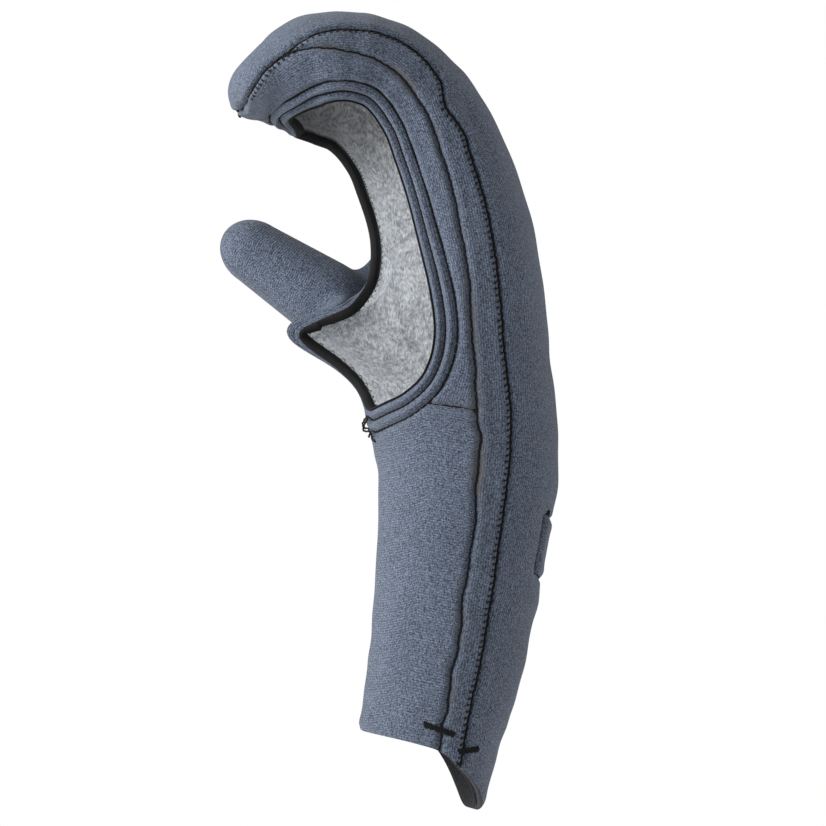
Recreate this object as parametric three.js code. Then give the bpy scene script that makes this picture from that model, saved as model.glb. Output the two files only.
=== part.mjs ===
// An open-palm mitten for the left hand, sewn from foam rubber sheet with a fleece lining,
// in the form that it takes round a lightly curled hand.
// Millimetres. +Z runs from the cuff to the knuckles, -X is the palm, +X the back of the hand,
// +Y the thumb side. The origin is the middle of the cuff's mouth.
import * as THREE from 'three';

// Driving dimensions
const LENGTH = 322;          // along the middle, which SECTIONS lays out as shares of it
const HAND_WIDTH = 94;       // across the knuckles, outside
const FOAM = 2.6;            // foam rubber sheet
const FLEECE = 1.2;          // lining
const SEAM_GAP = 0.3;        // between neighbouring pieces
const HEM_WIDTH = 9.5;       // double-stitched hem round the open palm
const HEM_PUFF = 0.9;        // how far the foam swells between two rows of stitches
const BINDING_THICKNESS = 0.9;
const BINDING_TURN = 3.4;    // width of the binding that shows on the lining
const ROOT_BULGE = 37;       // how far the root of the thumb stands out towards the palm
const THUMB_LENGTH = 77;     // from the root's middle to the end of the stall
const THUMB_ROOT_RADIUS = 19;
const THUMB_TIP_RADIUS = 13.2;
const ROOT_FLARE = 9;        // how strongly the stall springs from the hand before it turns
const THUMB_DIRECTION = new THREE.Vector3(-0.80, 0.22, 0.558).normalize();
const THUMB_SET = new THREE.Vector3(-1, 0, -7);  // from the root's middle to the stall's
const THUMB_JOINED = 0.36;   // share of the thumb's length by which its root has become round
const PATCH_LIFT = 1.8;      // thickness of the patch on the back of the wrist

// Sections from the cuff to the fingertips. x and z place the middle as shares of LENGTH;
// back, palm and side are half sizes as shares of HAND_WIDTH; overlock and blind are the
// places of the two seams in degrees round from the back of the hand by the little finger.
const SECTIONS = [
  { x: -0.021, z: -0.079, back: 0.225, palm: 0.287, side: 0.340, overlock: 80, blind: 100 },
  { x: -0.008, z: 0.000, back: 0.256, palm: 0.303, side: 0.351, overlock: 80, blind: 100 },
  { x: 0.001, z: 0.064, back: 0.298, palm: 0.305, side: 0.362, overlock: 80, blind: 100 },
  { x: 0.013, z: 0.124, back: 0.321, palm: 0.321, side: 0.367, overlock: 80, blind: 100 },
  { x: 0.026, z: 0.209, back: 0.340, palm: 0.340, side: 0.378, overlock: 80, blind: 100 },
  { x: 0.041, z: 0.334, back: 0.372, palm: 0.372, side: 0.404, overlock: 80, blind: 100 },
  { x: 0.043, z: 0.409, back: 0.378, palm: 0.410, side: 0.436, overlock: 80, blind: 101 },
  { x: 0.039, z: 0.496, back: 0.356, palm: 0.436, side: 0.479, overlock: 84, blind: 103 },
  { x: 0.035, z: 0.584, back: 0.337, palm: 0.394, side: 0.500, overlock: 87, blind: 106 },
  { x: 0.017, z: 0.681, back: 0.330, palm: 0.346, side: 0.500, overlock: 87, blind: 108 },
  { x: -0.012, z: 0.765, back: 0.300, palm: 0.330, side: 0.500, overlock: 88, blind: 107 },
  { x: -0.047, z: 0.814, back: 0.293, palm: 0.298, side: 0.495, overlock: 78, blind: 104 },
  { x: -0.085, z: 0.845, back: 0.280, palm: 0.290, side: 0.489, overlock: 74, blind: 101 },
  { x: -0.127, z: 0.857, back: 0.260, palm: 0.288, side: 0.479, overlock: 73, blind: 98 },
  { x: -0.172, z: 0.856, back: 0.232, palm: 0.246, side: 0.447, overlock: 74, blind: 93 },
  { x: -0.204, z: 0.845, back: 0.180, palm: 0.180, side: 0.372, overlock: 77, blind: 82 },
  { x: -0.229, z: 0.831, back: 0.132, palm: 0.132, side: 0.287, overlock: 80, blind: 80 },
  { x: -0.247, z: 0.808, back: 0.110, palm: 0.110, side: 0.240, overlock: 80, blind: 80 },
];
const TIP = SECTIONS.length - 1;
const ROUND_FROM = TIP - 1;  // the fingertips round off beyond this section

// The edge of the open palm, from the heel of the hand up the little-finger side, over the
// fingertips and down the thumb side. at is a place along SECTIONS, angle as for the seams.
const PALM_EDGE = [
  { at: 6.38, angle: 180 },
  { at: 6.40, angle: 160 },
  { at: 6.48, angle: 144 },
  { at: 6.72, angle: 130 },
  { at: 7.20, angle: 124 },
  { at: 8.00, angle: 130 },
  { at: 9.00, angle: 138 },
  { at: 10.4, angle: 139 },
  { at: 12.0, angle: 136 },
  { at: 13.2, angle: 136 },
  { at: 14.1, angle: 147 },
  { at: 14.8, angle: 162 },
  { at: 15.1, angle: 180 },
  { at: 14.8, angle: 198 },
  { at: 14.1, angle: 213 },
  { at: 13.2, angle: 222 },
  { at: 12.0, angle: 222 },
  { at: 10.4, angle: 221 },
  { at: 9.40, angle: 222 },
  { at: 9.00, angle: 218 },
  { at: 8.70, angle: 211 },
  { at: 8.40, angle: 201 },
  { at: 8.15, angle: 193 },
  { at: 7.95, angle: 191 },
  { at: 7.78, angle: 196 },
  { at: 7.62, angle: 203 },
  { at: 7.40, angle: 207 },
  { at: 7.10, angle: 207 },
  { at: 6.75, angle: 203 },
  { at: 6.48, angle: 192 },
];

// The cuff's mouth, round from the back of the arm by the little finger: straight across the
// palm, a little higher on the thumb side, and hanging in a tail over the back.
const MOUTH = [
  { angle: 0, at: 0.46 },
  { angle: 30, at: 0.54 },
  { angle: 55, at: 0.76 },
  { angle: 80, at: 0.97 },
  { angle: 100, at: 1.20 },
  { angle: 135, at: 1.32 },
  { angle: 180, at: 1.46 },
  { angle: 225, at: 1.70 },
  { angle: 260, at: 1.72 },
  { angle: 280, at: 1.64 },
  { angle: 290, at: 1.52 },
  { angle: 305, at: 1.24 },
  { angle: 330, at: 0.76 },
  { angle: 345, at: 0.52 },
  { angle: 360, at: 0.46 },
];

// Places along SECTIONS, and shares of the palm's edge counted from the heel of the hand.
const CROSS_SEAM = { at: 6.13, share: 0.06 };
const STRIP_ENDS_AT = 15;
const EDGE_TIP_SHARE = 0.515;
const THUMB_ROOT = { topAt: 9.25, bottomAt: 6.5, topShare: 0.825, bottomShare: 0.955 };
const LINING_SPLIT_AT = 4.5;
const PATCH = { from: 4.27, to: 4.85, angle: 40 };

const COLOURS = { foam: 0x55617a, hem: 0x5b6780, black: 0x1b1b1d, fleece: 0x9a9a9a, lining: 0x202124 };

const lerp = THREE.MathUtils.lerp;
const degToRad = THREE.MathUtils.degToRad;

function smoothCurve(points, closed = false, type = 'catmullrom') {
  return new THREE.CatmullRomCurve3(points, closed, type, 0.5);
}

const middleLine = smoothCurve(SECTIONS.map((s) => new THREE.Vector3(s.x, 0, s.z).multiplyScalar(LENGTH)));
const halfSizes = smoothCurve(
  SECTIONS.map((s) => new THREE.Vector3(s.back, s.palm, s.side).multiplyScalar(HAND_WIDTH)));
const seamAngles = smoothCurve(SECTIONS.map((s) => new THREE.Vector3(s.overlock, s.blind, 0)));

// Routes over the surface are drawn in a flat chart: 25 mm a section, 0.7 mm a degree.
const CHART = { at: 25, angle: 0.7 };
const palmEdge = smoothCurve(
  PALM_EDGE.map((p) => new THREE.Vector3(p.at * CHART.at, p.angle * CHART.angle, 0)), true);

function palmEdgeAt(share) {
  const p = palmEdge.getPointAt(((share % 1) + 1) % 1);
  return { at: p.x / CHART.at, angle: p.y / CHART.angle };
}

const overlockAngle = (at) => seamAngles.getPoint(at / TIP).x;
const blindAngle = (at) => seamAngles.getPoint(at / TIP).y;

// How much of the thumb root's bulge a place takes. It rises quickly above the root and slowly
// below it, where it also moves round towards the palm.
function rootShare(at, angle) {
  const reach = at > 7.7 ? 0.42 : 0.59;
  const rise = Math.exp(-(((at - 7.7) / reach) ** 2));
  const middle = 226 - 22 * THREE.MathUtils.clamp(7.7 - at, 0, 1);
  const turn = Math.abs(angle - middle) / 60;
  return turn < 1 ? rise * Math.cos(turn * Math.PI / 2) ** 2 : 0;
}

// A point below the mitten's outer face, sunk by taking depth mm off the half sizes.
function shrunkSection(at, angle, depth) {
  const share = Math.min(at / TIP, 1);
  const middle = middleLine.getPoint(share);
  const ahead = middleLine.getTangent(share);
  const toBack = new THREE.Vector3(ahead.z, 0, -ahead.x);
  const half = halfSizes.getPoint(share);
  const rounding = THREE.MathUtils.clamp((at - ROUND_FROM) / (TIP - ROUND_FROM), 0, 1);
  const closing = Math.sqrt(1 - rounding ** 2);
  const c = Math.cos(degToRad(angle));
  const s = Math.sin(degToRad(angle));
  const depthwise = c > 0 ? half.x : half.y;
  const bulge = rootShare(at, ((angle % 360) + 360) % 360);
  return middle
    .addScaledVector(ahead, -depth * rounding)
    .addScaledVector(toBack, (depthwise - depth) * c * closing)
    .add(new THREE.Vector3(-ROOT_BULGE * bulge, -(half.z - depth) * s * closing + 2 * bulge, 0));
}

// The direction that the surface faces.
function facingAt({ at, angle }) {
  const here = shrunkSection(at, angle, 0);
  const along = shrunkSection(at + 0.01, angle, 0).sub(here);
  const round = shrunkSection(at, angle + 1, 0).sub(here);
  return along.cross(round).normalize();
}

// A point of the mitten's skin, depth mm straight below its outer face. The round end of the
// fingers has no single facing at its pole, so there the sections shrink instead.
function skin(at, angle, depth = 0) {
  const outer = shrunkSection(at, angle, 0);
  if (depth === 0) return outer;
  const toPole = THREE.MathUtils.smoothstep(at, ROUND_FROM - 1.5, ROUND_FROM);
  const shrunk = shrunkSection(at, angle, depth);
  if (toPole === 1) return shrunk;
  return outer.addScaledVector(facingAt({ at, angle }), -depth).lerp(shrunk, toPole);
}

// Moves a place over the surface by distance mm in a direction, in short steps because the
// sections lie close together inside the bend of the fingers.
function slide(place, direction, distance) {
  const steps = 6;
  const reach = 0.01;
  let { at, angle } = place;
  for (let i = 0; i < steps; i++) {
    const here = skin(at, angle);
    const along = skin(at + reach, angle).sub(here).divideScalar(reach);
    const round = skin(at, angle + reach).sub(here).divideScalar(reach);
    const alongAlong = along.dot(along);
    const alongRound = along.dot(round);
    const roundRound = round.dot(round);
    const towardsAlong = direction.dot(along);
    const towardsRound = direction.dot(round);
    const scale = distance / steps / (alongAlong * roundRound - alongRound ** 2);
    at += scale * (towardsAlong * roundRound - towardsRound * alongRound);
    angle += scale * (towardsRound * alongAlong - towardsAlong * alongRound);
  }
  return { at, angle };
}

// The way from the palm's edge to a place distance mm beside it, over the surface.
function wayBesidePalm(share, distance) {
  const step = 0.002;
  const place = palmEdgeAt(share);
  const before = palmEdgeAt(share - step);
  const after = palmEdgeAt(share + step);
  const heading = skin(after.at, after.angle).sub(skin(before.at, before.angle)).normalize();
  const aside = slide(place, heading.cross(facingAt(place)), distance);
  return { at: aside.at - place.at, angle: aside.angle - place.angle };
}

// A place distance mm away from the palm's edge. The ways of neighbouring places are averaged
// over a stretch that grows with the distance, so that they don't cross in a tight bend.
function besidePalm(share, distance) {
  const stretch = 0.9 * distance / palmEdge.getLength();
  const ways = spread(-stretch, stretch, 4).map((nearby) => wayBesidePalm(share + nearby, distance));
  const place = palmEdgeAt(share);
  ways.forEach((way) => {
    place.at += way.at / ways.length;
    place.angle += way.angle / ways.length;
  });
  return place;
}

function between(a, b, share) {
  return { at: lerp(a.at, b.at, share), angle: lerp(a.angle, b.angle, share) };
}

function mouthAt(angle) {
  const turn = ((angle % 360) + 360) % 360;
  const next = Math.max(1, MOUTH.findIndex((row) => row.angle >= turn));
  const a = MOUTH[next - 1];
  const b = MOUTH[next];
  return THREE.MathUtils.mapLinear(turn, a.angle, b.angle, a.at, b.at);
}

// Closes two grids of points, an outer and an inner face, into one solid.
// closed joins the last column to the first.
function solidBetween(outer, inner, closed = false) {
  const columns = outer.length;
  const rows = outer[0].length;
  const points = [...outer.flat(), ...inner.flat()];
  const index = [];
  const id = (face, i, j) => face * columns * rows + (i % columns) * rows + j;
  const triangle = (a, b, c) => {
    const [p, q, r] = [points[a], points[b], points[c]];
    const apart = 1e-6;
    if (p.distanceTo(q) > apart && q.distanceTo(r) > apart && r.distanceTo(p) > apart) index.push(a, b, c);
  };
  const quad = (a, b, c, d) => {
    triangle(a, b, c);
    triangle(a, c, d);
  };
  const spans = closed ? columns : columns - 1;
  for (let i = 0; i < spans; i++) {
    for (let j = 0; j < rows - 1; j++) {
      quad(id(0, i, j), id(0, i + 1, j), id(0, i + 1, j + 1), id(0, i, j + 1));
      quad(id(1, i, j), id(1, i, j + 1), id(1, i + 1, j + 1), id(1, i + 1, j));
    }
    quad(id(0, i, 0), id(1, i, 0), id(1, i + 1, 0), id(0, i + 1, 0));
    quad(id(0, i, rows - 1), id(0, i + 1, rows - 1), id(1, i + 1, rows - 1), id(1, i, rows - 1));
  }
  if (!closed) {
    for (let j = 0; j < rows - 1; j++) {
      quad(id(0, 0, j), id(0, 0, j + 1), id(1, 0, j + 1), id(1, 0, j));
      const last = columns - 1;
      quad(id(0, last, j), id(1, last, j), id(1, last, j + 1), id(0, last, j + 1));
    }
  }
  return facingOut(points, index);
}

function facingOut(points, index) {
  let volume = 0;
  for (let i = 0; i < index.length; i += 3) {
    const [a, b, c] = [points[index[i]], points[index[i + 1]], points[index[i + 2]]];
    volume += a.dot(new THREE.Vector3().crossVectors(b, c));
  }
  if (volume < 0) index.reverse();
  const geometry = new THREE.BufferGeometry().setFromPoints(points);
  geometry.setIndex(index);
  return geometry;
}

// A panel of sheet over a grid of places. outside(j) and inside(j) are the depths of its two
// faces in row j.
function panel(places, { closed = false, outside = () => 0, inside = () => FOAM } = {}) {
  const face = (depth) =>
    places.map((column) => column.map(({ at, angle }, j) => skin(at, angle, depth(j))));
  return solidBetween(face(outside), face(inside), closed);
}

function piece(name, geometry, colour, roughness) {
  const material = new THREE.MeshStandardMaterial({ color: colour, roughness, metalness: 0 });
  const mesh = new THREE.Mesh(geometry, material);
  mesh.name = name;
  return mesh;
}

// steps + 1 numbers from a to b.
function spread(a, b, steps) {
  return Array.from({ length: steps + 1 }, (_, i) => lerp(a, b, i / steps));
}

// Half a seam's gap, in degrees round the hand and in places along SECTIONS.
const gapDegrees = THREE.MathUtils.radToDeg(SEAM_GAP / 2 / (0.38 * HAND_WIDTH));
const gapAt = SEAM_GAP / 2 / CHART.at;
const gapShare = SEAM_GAP / 2 / palmEdge.getLength();
const hemClear = HEM_WIDTH + SEAM_GAP / 2;
const liningClear = BINDING_TURN + SEAM_GAP;
const LINING_CLEARS = [liningClear, lerp(liningClear, hemClear, 0.5), hemClear];
const overFoam = { outside: () => FOAM + SEAM_GAP, inside: () => FOAM + SEAM_GAP + FLEECE };

// Neighbouring pieces share these stations, so that their facets run parallel at a seam.
const STATIONS = [
  ...spread(2, 5.5, 7), CROSS_SEAM.at, ...spread(6.5, 8.5, 4), THUMB_ROOT.topAt,
  ...spread(9.5, 15, 11), 15.4, 15.8, 16.2, 16.5, 16.75, 16.9, 16.97, TIP,
];
const stationsFrom = (from, to = TIP) => STATIONS.filter((at) => at >= from && at <= to);
const fromMouth = (angle, to) => {
  const mouth = mouthAt(angle);
  return [mouth, lerp(mouth, 2, 0.5), ...stationsFrom(2, to)];
};
const SEAM_ROWS = 3;
const nearStations = stationsFrom(CROSS_SEAM.at);
const farStations = stationsFrom(THUMB_ROOT.topAt);
const climbFrom = (start, at) => (at - start) / (TIP - start);
const edgeShares = {
  near: nearStations.map((at) => lerp(CROSS_SEAM.share, EDGE_TIP_SHARE, climbFrom(CROSS_SEAM.at, at))),
  far: farStations.map((at) => lerp(THUMB_ROOT.topShare, EDGE_TIP_SHARE, climbFrom(THUMB_ROOT.topAt, at)))
    .reverse(),
  thumb: spread(THUMB_ROOT.topShare, THUMB_ROOT.bottomShare, 12),
  wrist: spread(THUMB_ROOT.bottomShare, 1 + CROSS_SEAM.share, 10),
};
const ringShares = [edgeShares.near, edgeShares.far, edgeShares.thumb, edgeShares.wrist]
  .flatMap((shares) => shares.slice(0, -1));

// The back of the hand from one overlocked seam to the other, up to the fingertips.
function backColumn(at, startAt = null) {
  return spread(1, -1, 10).map((side) => {
    const angle = side * (overlockAngle(Math.max(at, 1)) - gapDegrees);
    return { at: startAt ? startAt(angle, at) : Math.min(at, TIP - 2e-4), angle };
  });
}

function backPlaces() {
  const tail = [(angle) => mouthAt(angle), (angle) => lerp(mouthAt(angle), 2, 0.5)];
  return [...tail.map((start) => backColumn(1, start)), ...stationsFrom(2).map((at) => backColumn(at))];
}

// The palm side of the fingers: a U from the palm's edge out to the seams, up the
// little-finger side, over the fingertips and down to the thumb. clears are the distances
// from the palm's edge of its first rows.
function hoodPlaces(clears, beyondBlind) {
  const column = (share, at, near) => {
    const tip = at > TIP - 1e-6;
    const side = near ? blindAngle(at) + gapDegrees : 360 - overlockAngle(at) - gapDegrees;
    const start = near ? CROSS_SEAM.at + gapAt : THUMB_ROOT.topAt + gapAt;
    const outer = { at: Math.max(at, start), angle: tip ? 180 : side };
    const inner = clears.map((clear) => besidePalm(share, clear));
    const stops = spread(0, 1, SEAM_ROWS).slice(1);
    if (beyondBlind && !near) stops.splice(-1, 1, 0.95, 1);
    const ruled = stops.map((v) => between(inner[inner.length - 1], outer, v));
    const overlock = overlockAngle(at) + gapDegrees;
    const last = { at: outer.at, angle: tip ? 180 : side - overlock > 1 ? overlock : side };
    return [...inner, ...ruled, ...(beyondBlind && near ? [last] : [])];
  };
  const near = nearStations.map((at, i) => column(edgeShares.near[i] + (i === 0 ? gapShare : 0), at, true));
  const last = farStations.length - 1;
  const far = [...farStations].reverse()
    .map((at, i) => column(edgeShares.far[i] - (i === last ? gapShare : 0), at, false));
  return [...near, ...far.slice(1)];
}

// The palm side of the wrist up to the cross seam, the hem and the thumb's root.
// Each column gives its foot and its top.
function wristColumns(clear) {
  const nearAngle = 100 + gapDegrees;
  const farAngle = 280 - gapDegrees;
  const crossEnd = { at: CROSS_SEAM.at - gapAt, angle: blindAngle(CROSS_SEAM.at) + gapDegrees };
  const thumbSide = 360 - overlockAngle(THUMB_ROOT.bottomAt) - gapDegrees;
  const thumbEnd = { at: THUMB_ROOT.bottomAt - gapAt, angle: thumbSide };
  const from = THUMB_ROOT.bottomShare + gapShare;
  const to = 1 + CROSS_SEAM.share - gapShare;
  const hem = spread(to, from, edgeShares.wrist.length - 1).map((share) => besidePalm(share, clear));
  const crossing = spread(0, 1, SEAM_ROWS).slice(0, -1);
  const tops = [
    ...crossing.map((s) => between(crossEnd, hem[0], s)),
    ...hem,
    ...crossing.map((s) => between(thumbEnd, hem[hem.length - 1], s)).reverse(),
  ];
  return tops.map((top, i) => ({ top, foot: lerp(nearAngle, farAngle, i / (tops.length - 1)) }));
}

// A column runs straight up from its foot, and leans over to its top above the lining's split.
function upColumn({ foot, top }, at) {
  const lean = Math.max(0, (at - LINING_SPLIT_AT) / (top.at - LINING_SPLIT_AT));
  return { at, angle: lerp(foot, top.angle, lean) };
}

function wristPlaces() {
  return wristColumns(hemClear).map((column) => [
    ...fromMouth(column.foot, 5.5).map((at) => upColumn(column, at)),
    column.top,
  ]);
}

function sideStripPlaces() {
  const rows = [0, 0.5, 1];
  const angleAt = (at, v) => lerp(overlockAngle(at) + gapDegrees, blindAngle(at) - gapDegrees, v);
  const steps = fromMouth(90, STRIP_ENDS_AT).length;
  return Array.from({ length: steps }, (_, i) => rows.map((v) => {
    const at = fromMouth(angleAt(1, v), STRIP_ENDS_AT)[i];
    return { at, angle: angleAt(at, v) };
  }));
}

// The hem swells between its rows of stitches and is drawn in at each row.
const HEM_PROFILE = [
  { share: 0.00, lift: -0.4 },
  { share: 0.20, lift: 0.55 },
  { share: 0.40, lift: -0.3 },
  { share: 0.70, lift: 1.00 },
  { share: 1.00, lift: -0.3 },
];

function palmHem() {
  const places = ringShares.map((share) =>
    HEM_PROFILE.map((row) => besidePalm(share, lerp(3 * SEAM_GAP, HEM_WIDTH - SEAM_GAP / 2, row.share))));
  return panel(places, {
    closed: true,
    outside: (j) => -HEM_PUFF * HEM_PROFILE[j].lift,
    inside: () => FOAM - SEAM_GAP,
  });
}

// Tape folded over the cut edge: reach is mm away from the edge, depth mm below the skin.
function palmBinding() {
  const under = FOAM + 1.5 * SEAM_GAP;
  const profile = [
    { reach: -BINDING_THICKNESS, depth: 0 },
    { reach: 0, depth: -0.2 },
    { reach: 0, depth: under },
    { reach: BINDING_TURN, depth: under },
    { reach: BINDING_TURN, depth: under + BINDING_THICKNESS },
    { reach: -BINDING_THICKNESS, depth: under + BINDING_THICKNESS },
  ];
  const columns = ringShares.length;
  const count = profile.length;
  const points = ringShares.flatMap((share) => profile.map(({ reach, depth }) => {
    const { at, angle } = besidePalm(share, reach);
    return skin(at, angle, depth);
  }));
  const id = (i, j) => (i % columns) * count + (j % count);
  const index = [];
  for (let i = 0; i < columns; i++) {
    for (let j = 0; j < count; j++) {
      index.push(id(i, j), id(i + 1, j), id(i + 1, j + 1), id(i, j), id(i + 1, j + 1), id(i, j + 1));
    }
  }
  return facingOut(points, index);
}

// The root of the thumb on the hand: down along the hem, back along the heel, up the
// overlocked seam and forward under the first finger.
function thumbRootPlaces(clear) {
  const angleBack = (at) => 360 - overlockAngle(at) - gapDegrees;
  const { topAt, bottomAt } = THUMB_ROOT;
  const hem = edgeShares.thumb.map((share) => besidePalm(share, clear));
  const foot = besidePalm(THUMB_ROOT.bottomShare - gapShare, clear);
  const head = besidePalm(THUMB_ROOT.topShare + gapShare, clear);
  const backFoot = { at: bottomAt + gapAt, angle: angleBack(bottomAt) };
  const backHead = { at: topAt - gapAt, angle: angleBack(topAt) };
  const across = spread(0, 1, SEAM_ROWS).slice(0, -1);
  return [
    head,
    ...hem.slice(1, -1),
    ...across.map((s) => between(foot, backFoot, s)),
    backFoot,
    ...stationsFrom(bottomAt + 0.1, topAt - 0.1).map((at) => ({ at, angle: angleBack(at) })),
    ...across.map((s) => between(backHead, head, s)),
  ];
}

// One face of the thumb stall, depth mm below its outer face: it leaves the hand along the
// root and narrows to a round stall with a round end.
function thumbFace(depth, rows) {
  const root = thumbRootPlaces(hemClear);
  const outerRoot = root.map(({ at, angle }) => skin(at, angle));
  const sum = outerRoot.reduce((total, p) => total.add(p), new THREE.Vector3());
  const middle = sum.divideScalar(root.length).add(THUMB_SET);
  const across = new THREE.Vector3(0, 0, 1).cross(THUMB_DIRECTION).normalize();
  const upright = THUMB_DIRECTION.clone().cross(across);
  const centreAt = (share) => middle.clone().addScaledVector(THUMB_DIRECTION, share * (THUMB_LENGTH - depth));
  const radiusAt = (share) => {
    const rounding = THREE.MathUtils.clamp((share - 0.8) / 0.2, 0, 1);
    const radius = lerp(THUMB_ROOT_RADIUS, THUMB_TIP_RADIUS, Math.min(share / 0.8, 1));
    return (radius - depth) * Math.sqrt(1 - rounding ** 2);
  };
  const arriving = THUMB_DIRECTION.clone().multiplyScalar(THUMB_JOINED * THUMB_LENGTH);
  return root.map(({ at, angle }, i) => {
    const start = skin(at, angle, depth);
    const leaving = facingAt({ at, angle }).addScaledVector(THUMB_DIRECTION, 0.4)
      .multiplyScalar(ROOT_FLARE + 3 * depth);
    const fromMiddle = skin(at, angle).sub(middle);
    const turn = Math.atan2(fromMiddle.dot(upright), fromMiddle.dot(across));
    const ring = (share) => centreAt(share)
      .addScaledVector(across, radiusAt(share) * Math.cos(turn))
      .addScaledVector(upright, radiusAt(share) * Math.sin(turn));
    return spread(0, 1, rows).map((step) => {
      const share = Math.sin(step * Math.PI / 2);
      if (share >= THUMB_JOINED) return ring(share);
      const s = share / THUMB_JOINED;
      return start.clone().multiplyScalar(2 * s ** 3 - 3 * s ** 2 + 1)
        .addScaledVector(leaving, s ** 3 - 2 * s ** 2 + s)
        .addScaledVector(ring(THUMB_JOINED), 3 * s ** 2 - 2 * s ** 3)
        .addScaledVector(arriving, s ** 3 - s ** 2);
    });
  });
}

function thumbStall() {
  return solidBetween(thumbFace(0, 9), thumbFace(FOAM, 9), true);
}

// The thumb's lining starts beside the binding, so its columns along the hem have two rows more
// than the stall's. The columns at the two ends of the hem come twice, without them and with them.
function thumbLining() {
  const lastAtHem = edgeShares.thumb.length - 1;
  const [edge, halfway, root] = LINING_CLEARS.map((clear) => thumbRootPlaces(clear));
  const face = (depth) => {
    const sunk = ({ at, angle }) => skin(at, angle, depth);
    return thumbFace(depth, 9).flatMap((column, i) => {
      const plain = [sunk(root[i]), sunk(root[i]), ...column];
      const reaching = [sunk(edge[i]), sunk(halfway[i]), ...column];
      if (i === 0) return [plain, reaching];
      if (i === lastAtHem) return [reaching, plain];
      return [i < lastAtHem ? reaching : plain];
    });
  };
  return solidBetween(face(FOAM + SEAM_GAP), face(FOAM + SEAM_GAP + FLEECE), true);
}

function backLining() {
  const places = stationsFrom(LINING_SPLIT_AT).map((at) => backColumn(Math.max(at, LINING_SPLIT_AT + gapAt)));
  return panel(places, overFoam);
}

// As on the thumb, the columns at the two ends of the hem come twice.
function wristLining() {
  const edge = wristColumns(liningClear);
  const rows = [LINING_SPLIT_AT + gapAt, 5, 5.5];
  const plain = (column) => [...rows.map((at) => upColumn(column, at)), column.top, column.top];
  const overStrip = [0, 0.5].map((v) => {
    const angle = lerp(overlockAngle(5) + gapDegrees, blindAngle(5) + gapDegrees, v);
    return plain({ foot: angle, top: { at: CROSS_SEAM.at - gapAt, angle } });
  });
  const firstAtHem = SEAM_ROWS;
  const lastAtHem = edge.length - 1 - SEAM_ROWS;
  const places = wristColumns(hemClear).flatMap((column, i) => {
    const reaching = [...plain(column).slice(0, -1), edge[i].top];
    if (i === firstAtHem) return [plain(column), reaching];
    if (i === lastAtHem) return [reaching, plain(column)];
    return [i > firstAtHem && i < lastAtHem ? reaching : plain(column)];
  });
  return panel([...overStrip, ...places], overFoam);
}

function cuffLining() {
  const angles = [
    ...spread(-80 + gapDegrees, 80 - gapDegrees, 10),
    90,
    ...wristColumns(hemClear).map(({ foot }) => foot),
  ];
  const places = angles.map((angle) => {
    const stations = fromMouth(angle, LINING_SPLIT_AT);
    const last = stations.length - 1;
    return stations.map((at, j) => ({ at: at + (j === 0 ? gapAt : j === last ? -gapAt : 0), angle }));
  });
  return panel(places, { closed: true, ...overFoam });
}

function wristPatch() {
  const places = spread(PATCH.angle, -PATCH.angle, 6).map((angle) =>
    spread(PATCH.from, PATCH.to, 2).map((at) => ({ at, angle })));
  return panel(places, { outside: () => -SEAM_GAP - PATCH_LIFT, inside: () => -SEAM_GAP });
}

const mitten = new THREE.Group();
mitten.add(
  piece('back_panel', panel(backPlaces()), COLOURS.foam, 0.85),
  piece('side_strip', panel(sideStripPlaces()), COLOURS.foam, 0.85),
  piece('finger_hood', panel(hoodPlaces([hemClear], false)), COLOURS.foam, 0.85),
  piece('cuff_palm_panel', panel(wristPlaces()), COLOURS.foam, 0.85),
  piece('thumb_stall', thumbStall(), COLOURS.foam, 0.85),
  piece('palm_hem', palmHem(), COLOURS.hem, 0.85),
  piece('palm_binding', palmBinding(), COLOURS.black, 0.9),
  piece('lining_back', backLining(), COLOURS.fleece, 1),
  piece('lining_hood', panel(hoodPlaces(LINING_CLEARS, true), overFoam), COLOURS.fleece, 1),
  piece('lining_wrist', wristLining(), COLOURS.fleece, 1),
  piece('lining_thumb', thumbLining(), COLOURS.fleece, 1),
  piece('lining_cuff', cuffLining(), COLOURS.lining, 0.9),
  piece('wrist_patch', wristPatch(), COLOURS.foam, 0.8),
);

export default mitten;
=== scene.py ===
"""The looks of an open-palm foam rubber mitten for the left hand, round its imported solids."""
import math
from functools import partial

import bpy
import numpy as np
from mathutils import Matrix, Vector


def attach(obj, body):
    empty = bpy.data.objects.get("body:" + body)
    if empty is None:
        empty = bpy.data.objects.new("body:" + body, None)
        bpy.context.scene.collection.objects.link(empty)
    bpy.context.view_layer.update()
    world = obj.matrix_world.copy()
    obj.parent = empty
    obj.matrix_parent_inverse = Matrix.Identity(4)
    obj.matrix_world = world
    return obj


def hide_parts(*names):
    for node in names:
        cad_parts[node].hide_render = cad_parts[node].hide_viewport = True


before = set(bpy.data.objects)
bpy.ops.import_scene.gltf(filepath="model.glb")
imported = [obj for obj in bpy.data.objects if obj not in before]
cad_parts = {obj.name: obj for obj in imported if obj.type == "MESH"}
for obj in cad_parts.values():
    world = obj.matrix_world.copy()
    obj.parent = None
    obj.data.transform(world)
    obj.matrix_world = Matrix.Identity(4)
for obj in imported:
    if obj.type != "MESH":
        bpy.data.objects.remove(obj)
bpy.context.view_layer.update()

# Back panel
# One panel of foam rubber sheet over the back of the hand, from the tail of the cuff to the
# fingertips. The sheet has a fine blue-grey knit on its outside and is moulded to a curled hand.
LENGTH, HAND_WIDTH = 0.322, 0.094
FOAM, FLEECE = 0.0026, 0.0012
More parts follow.
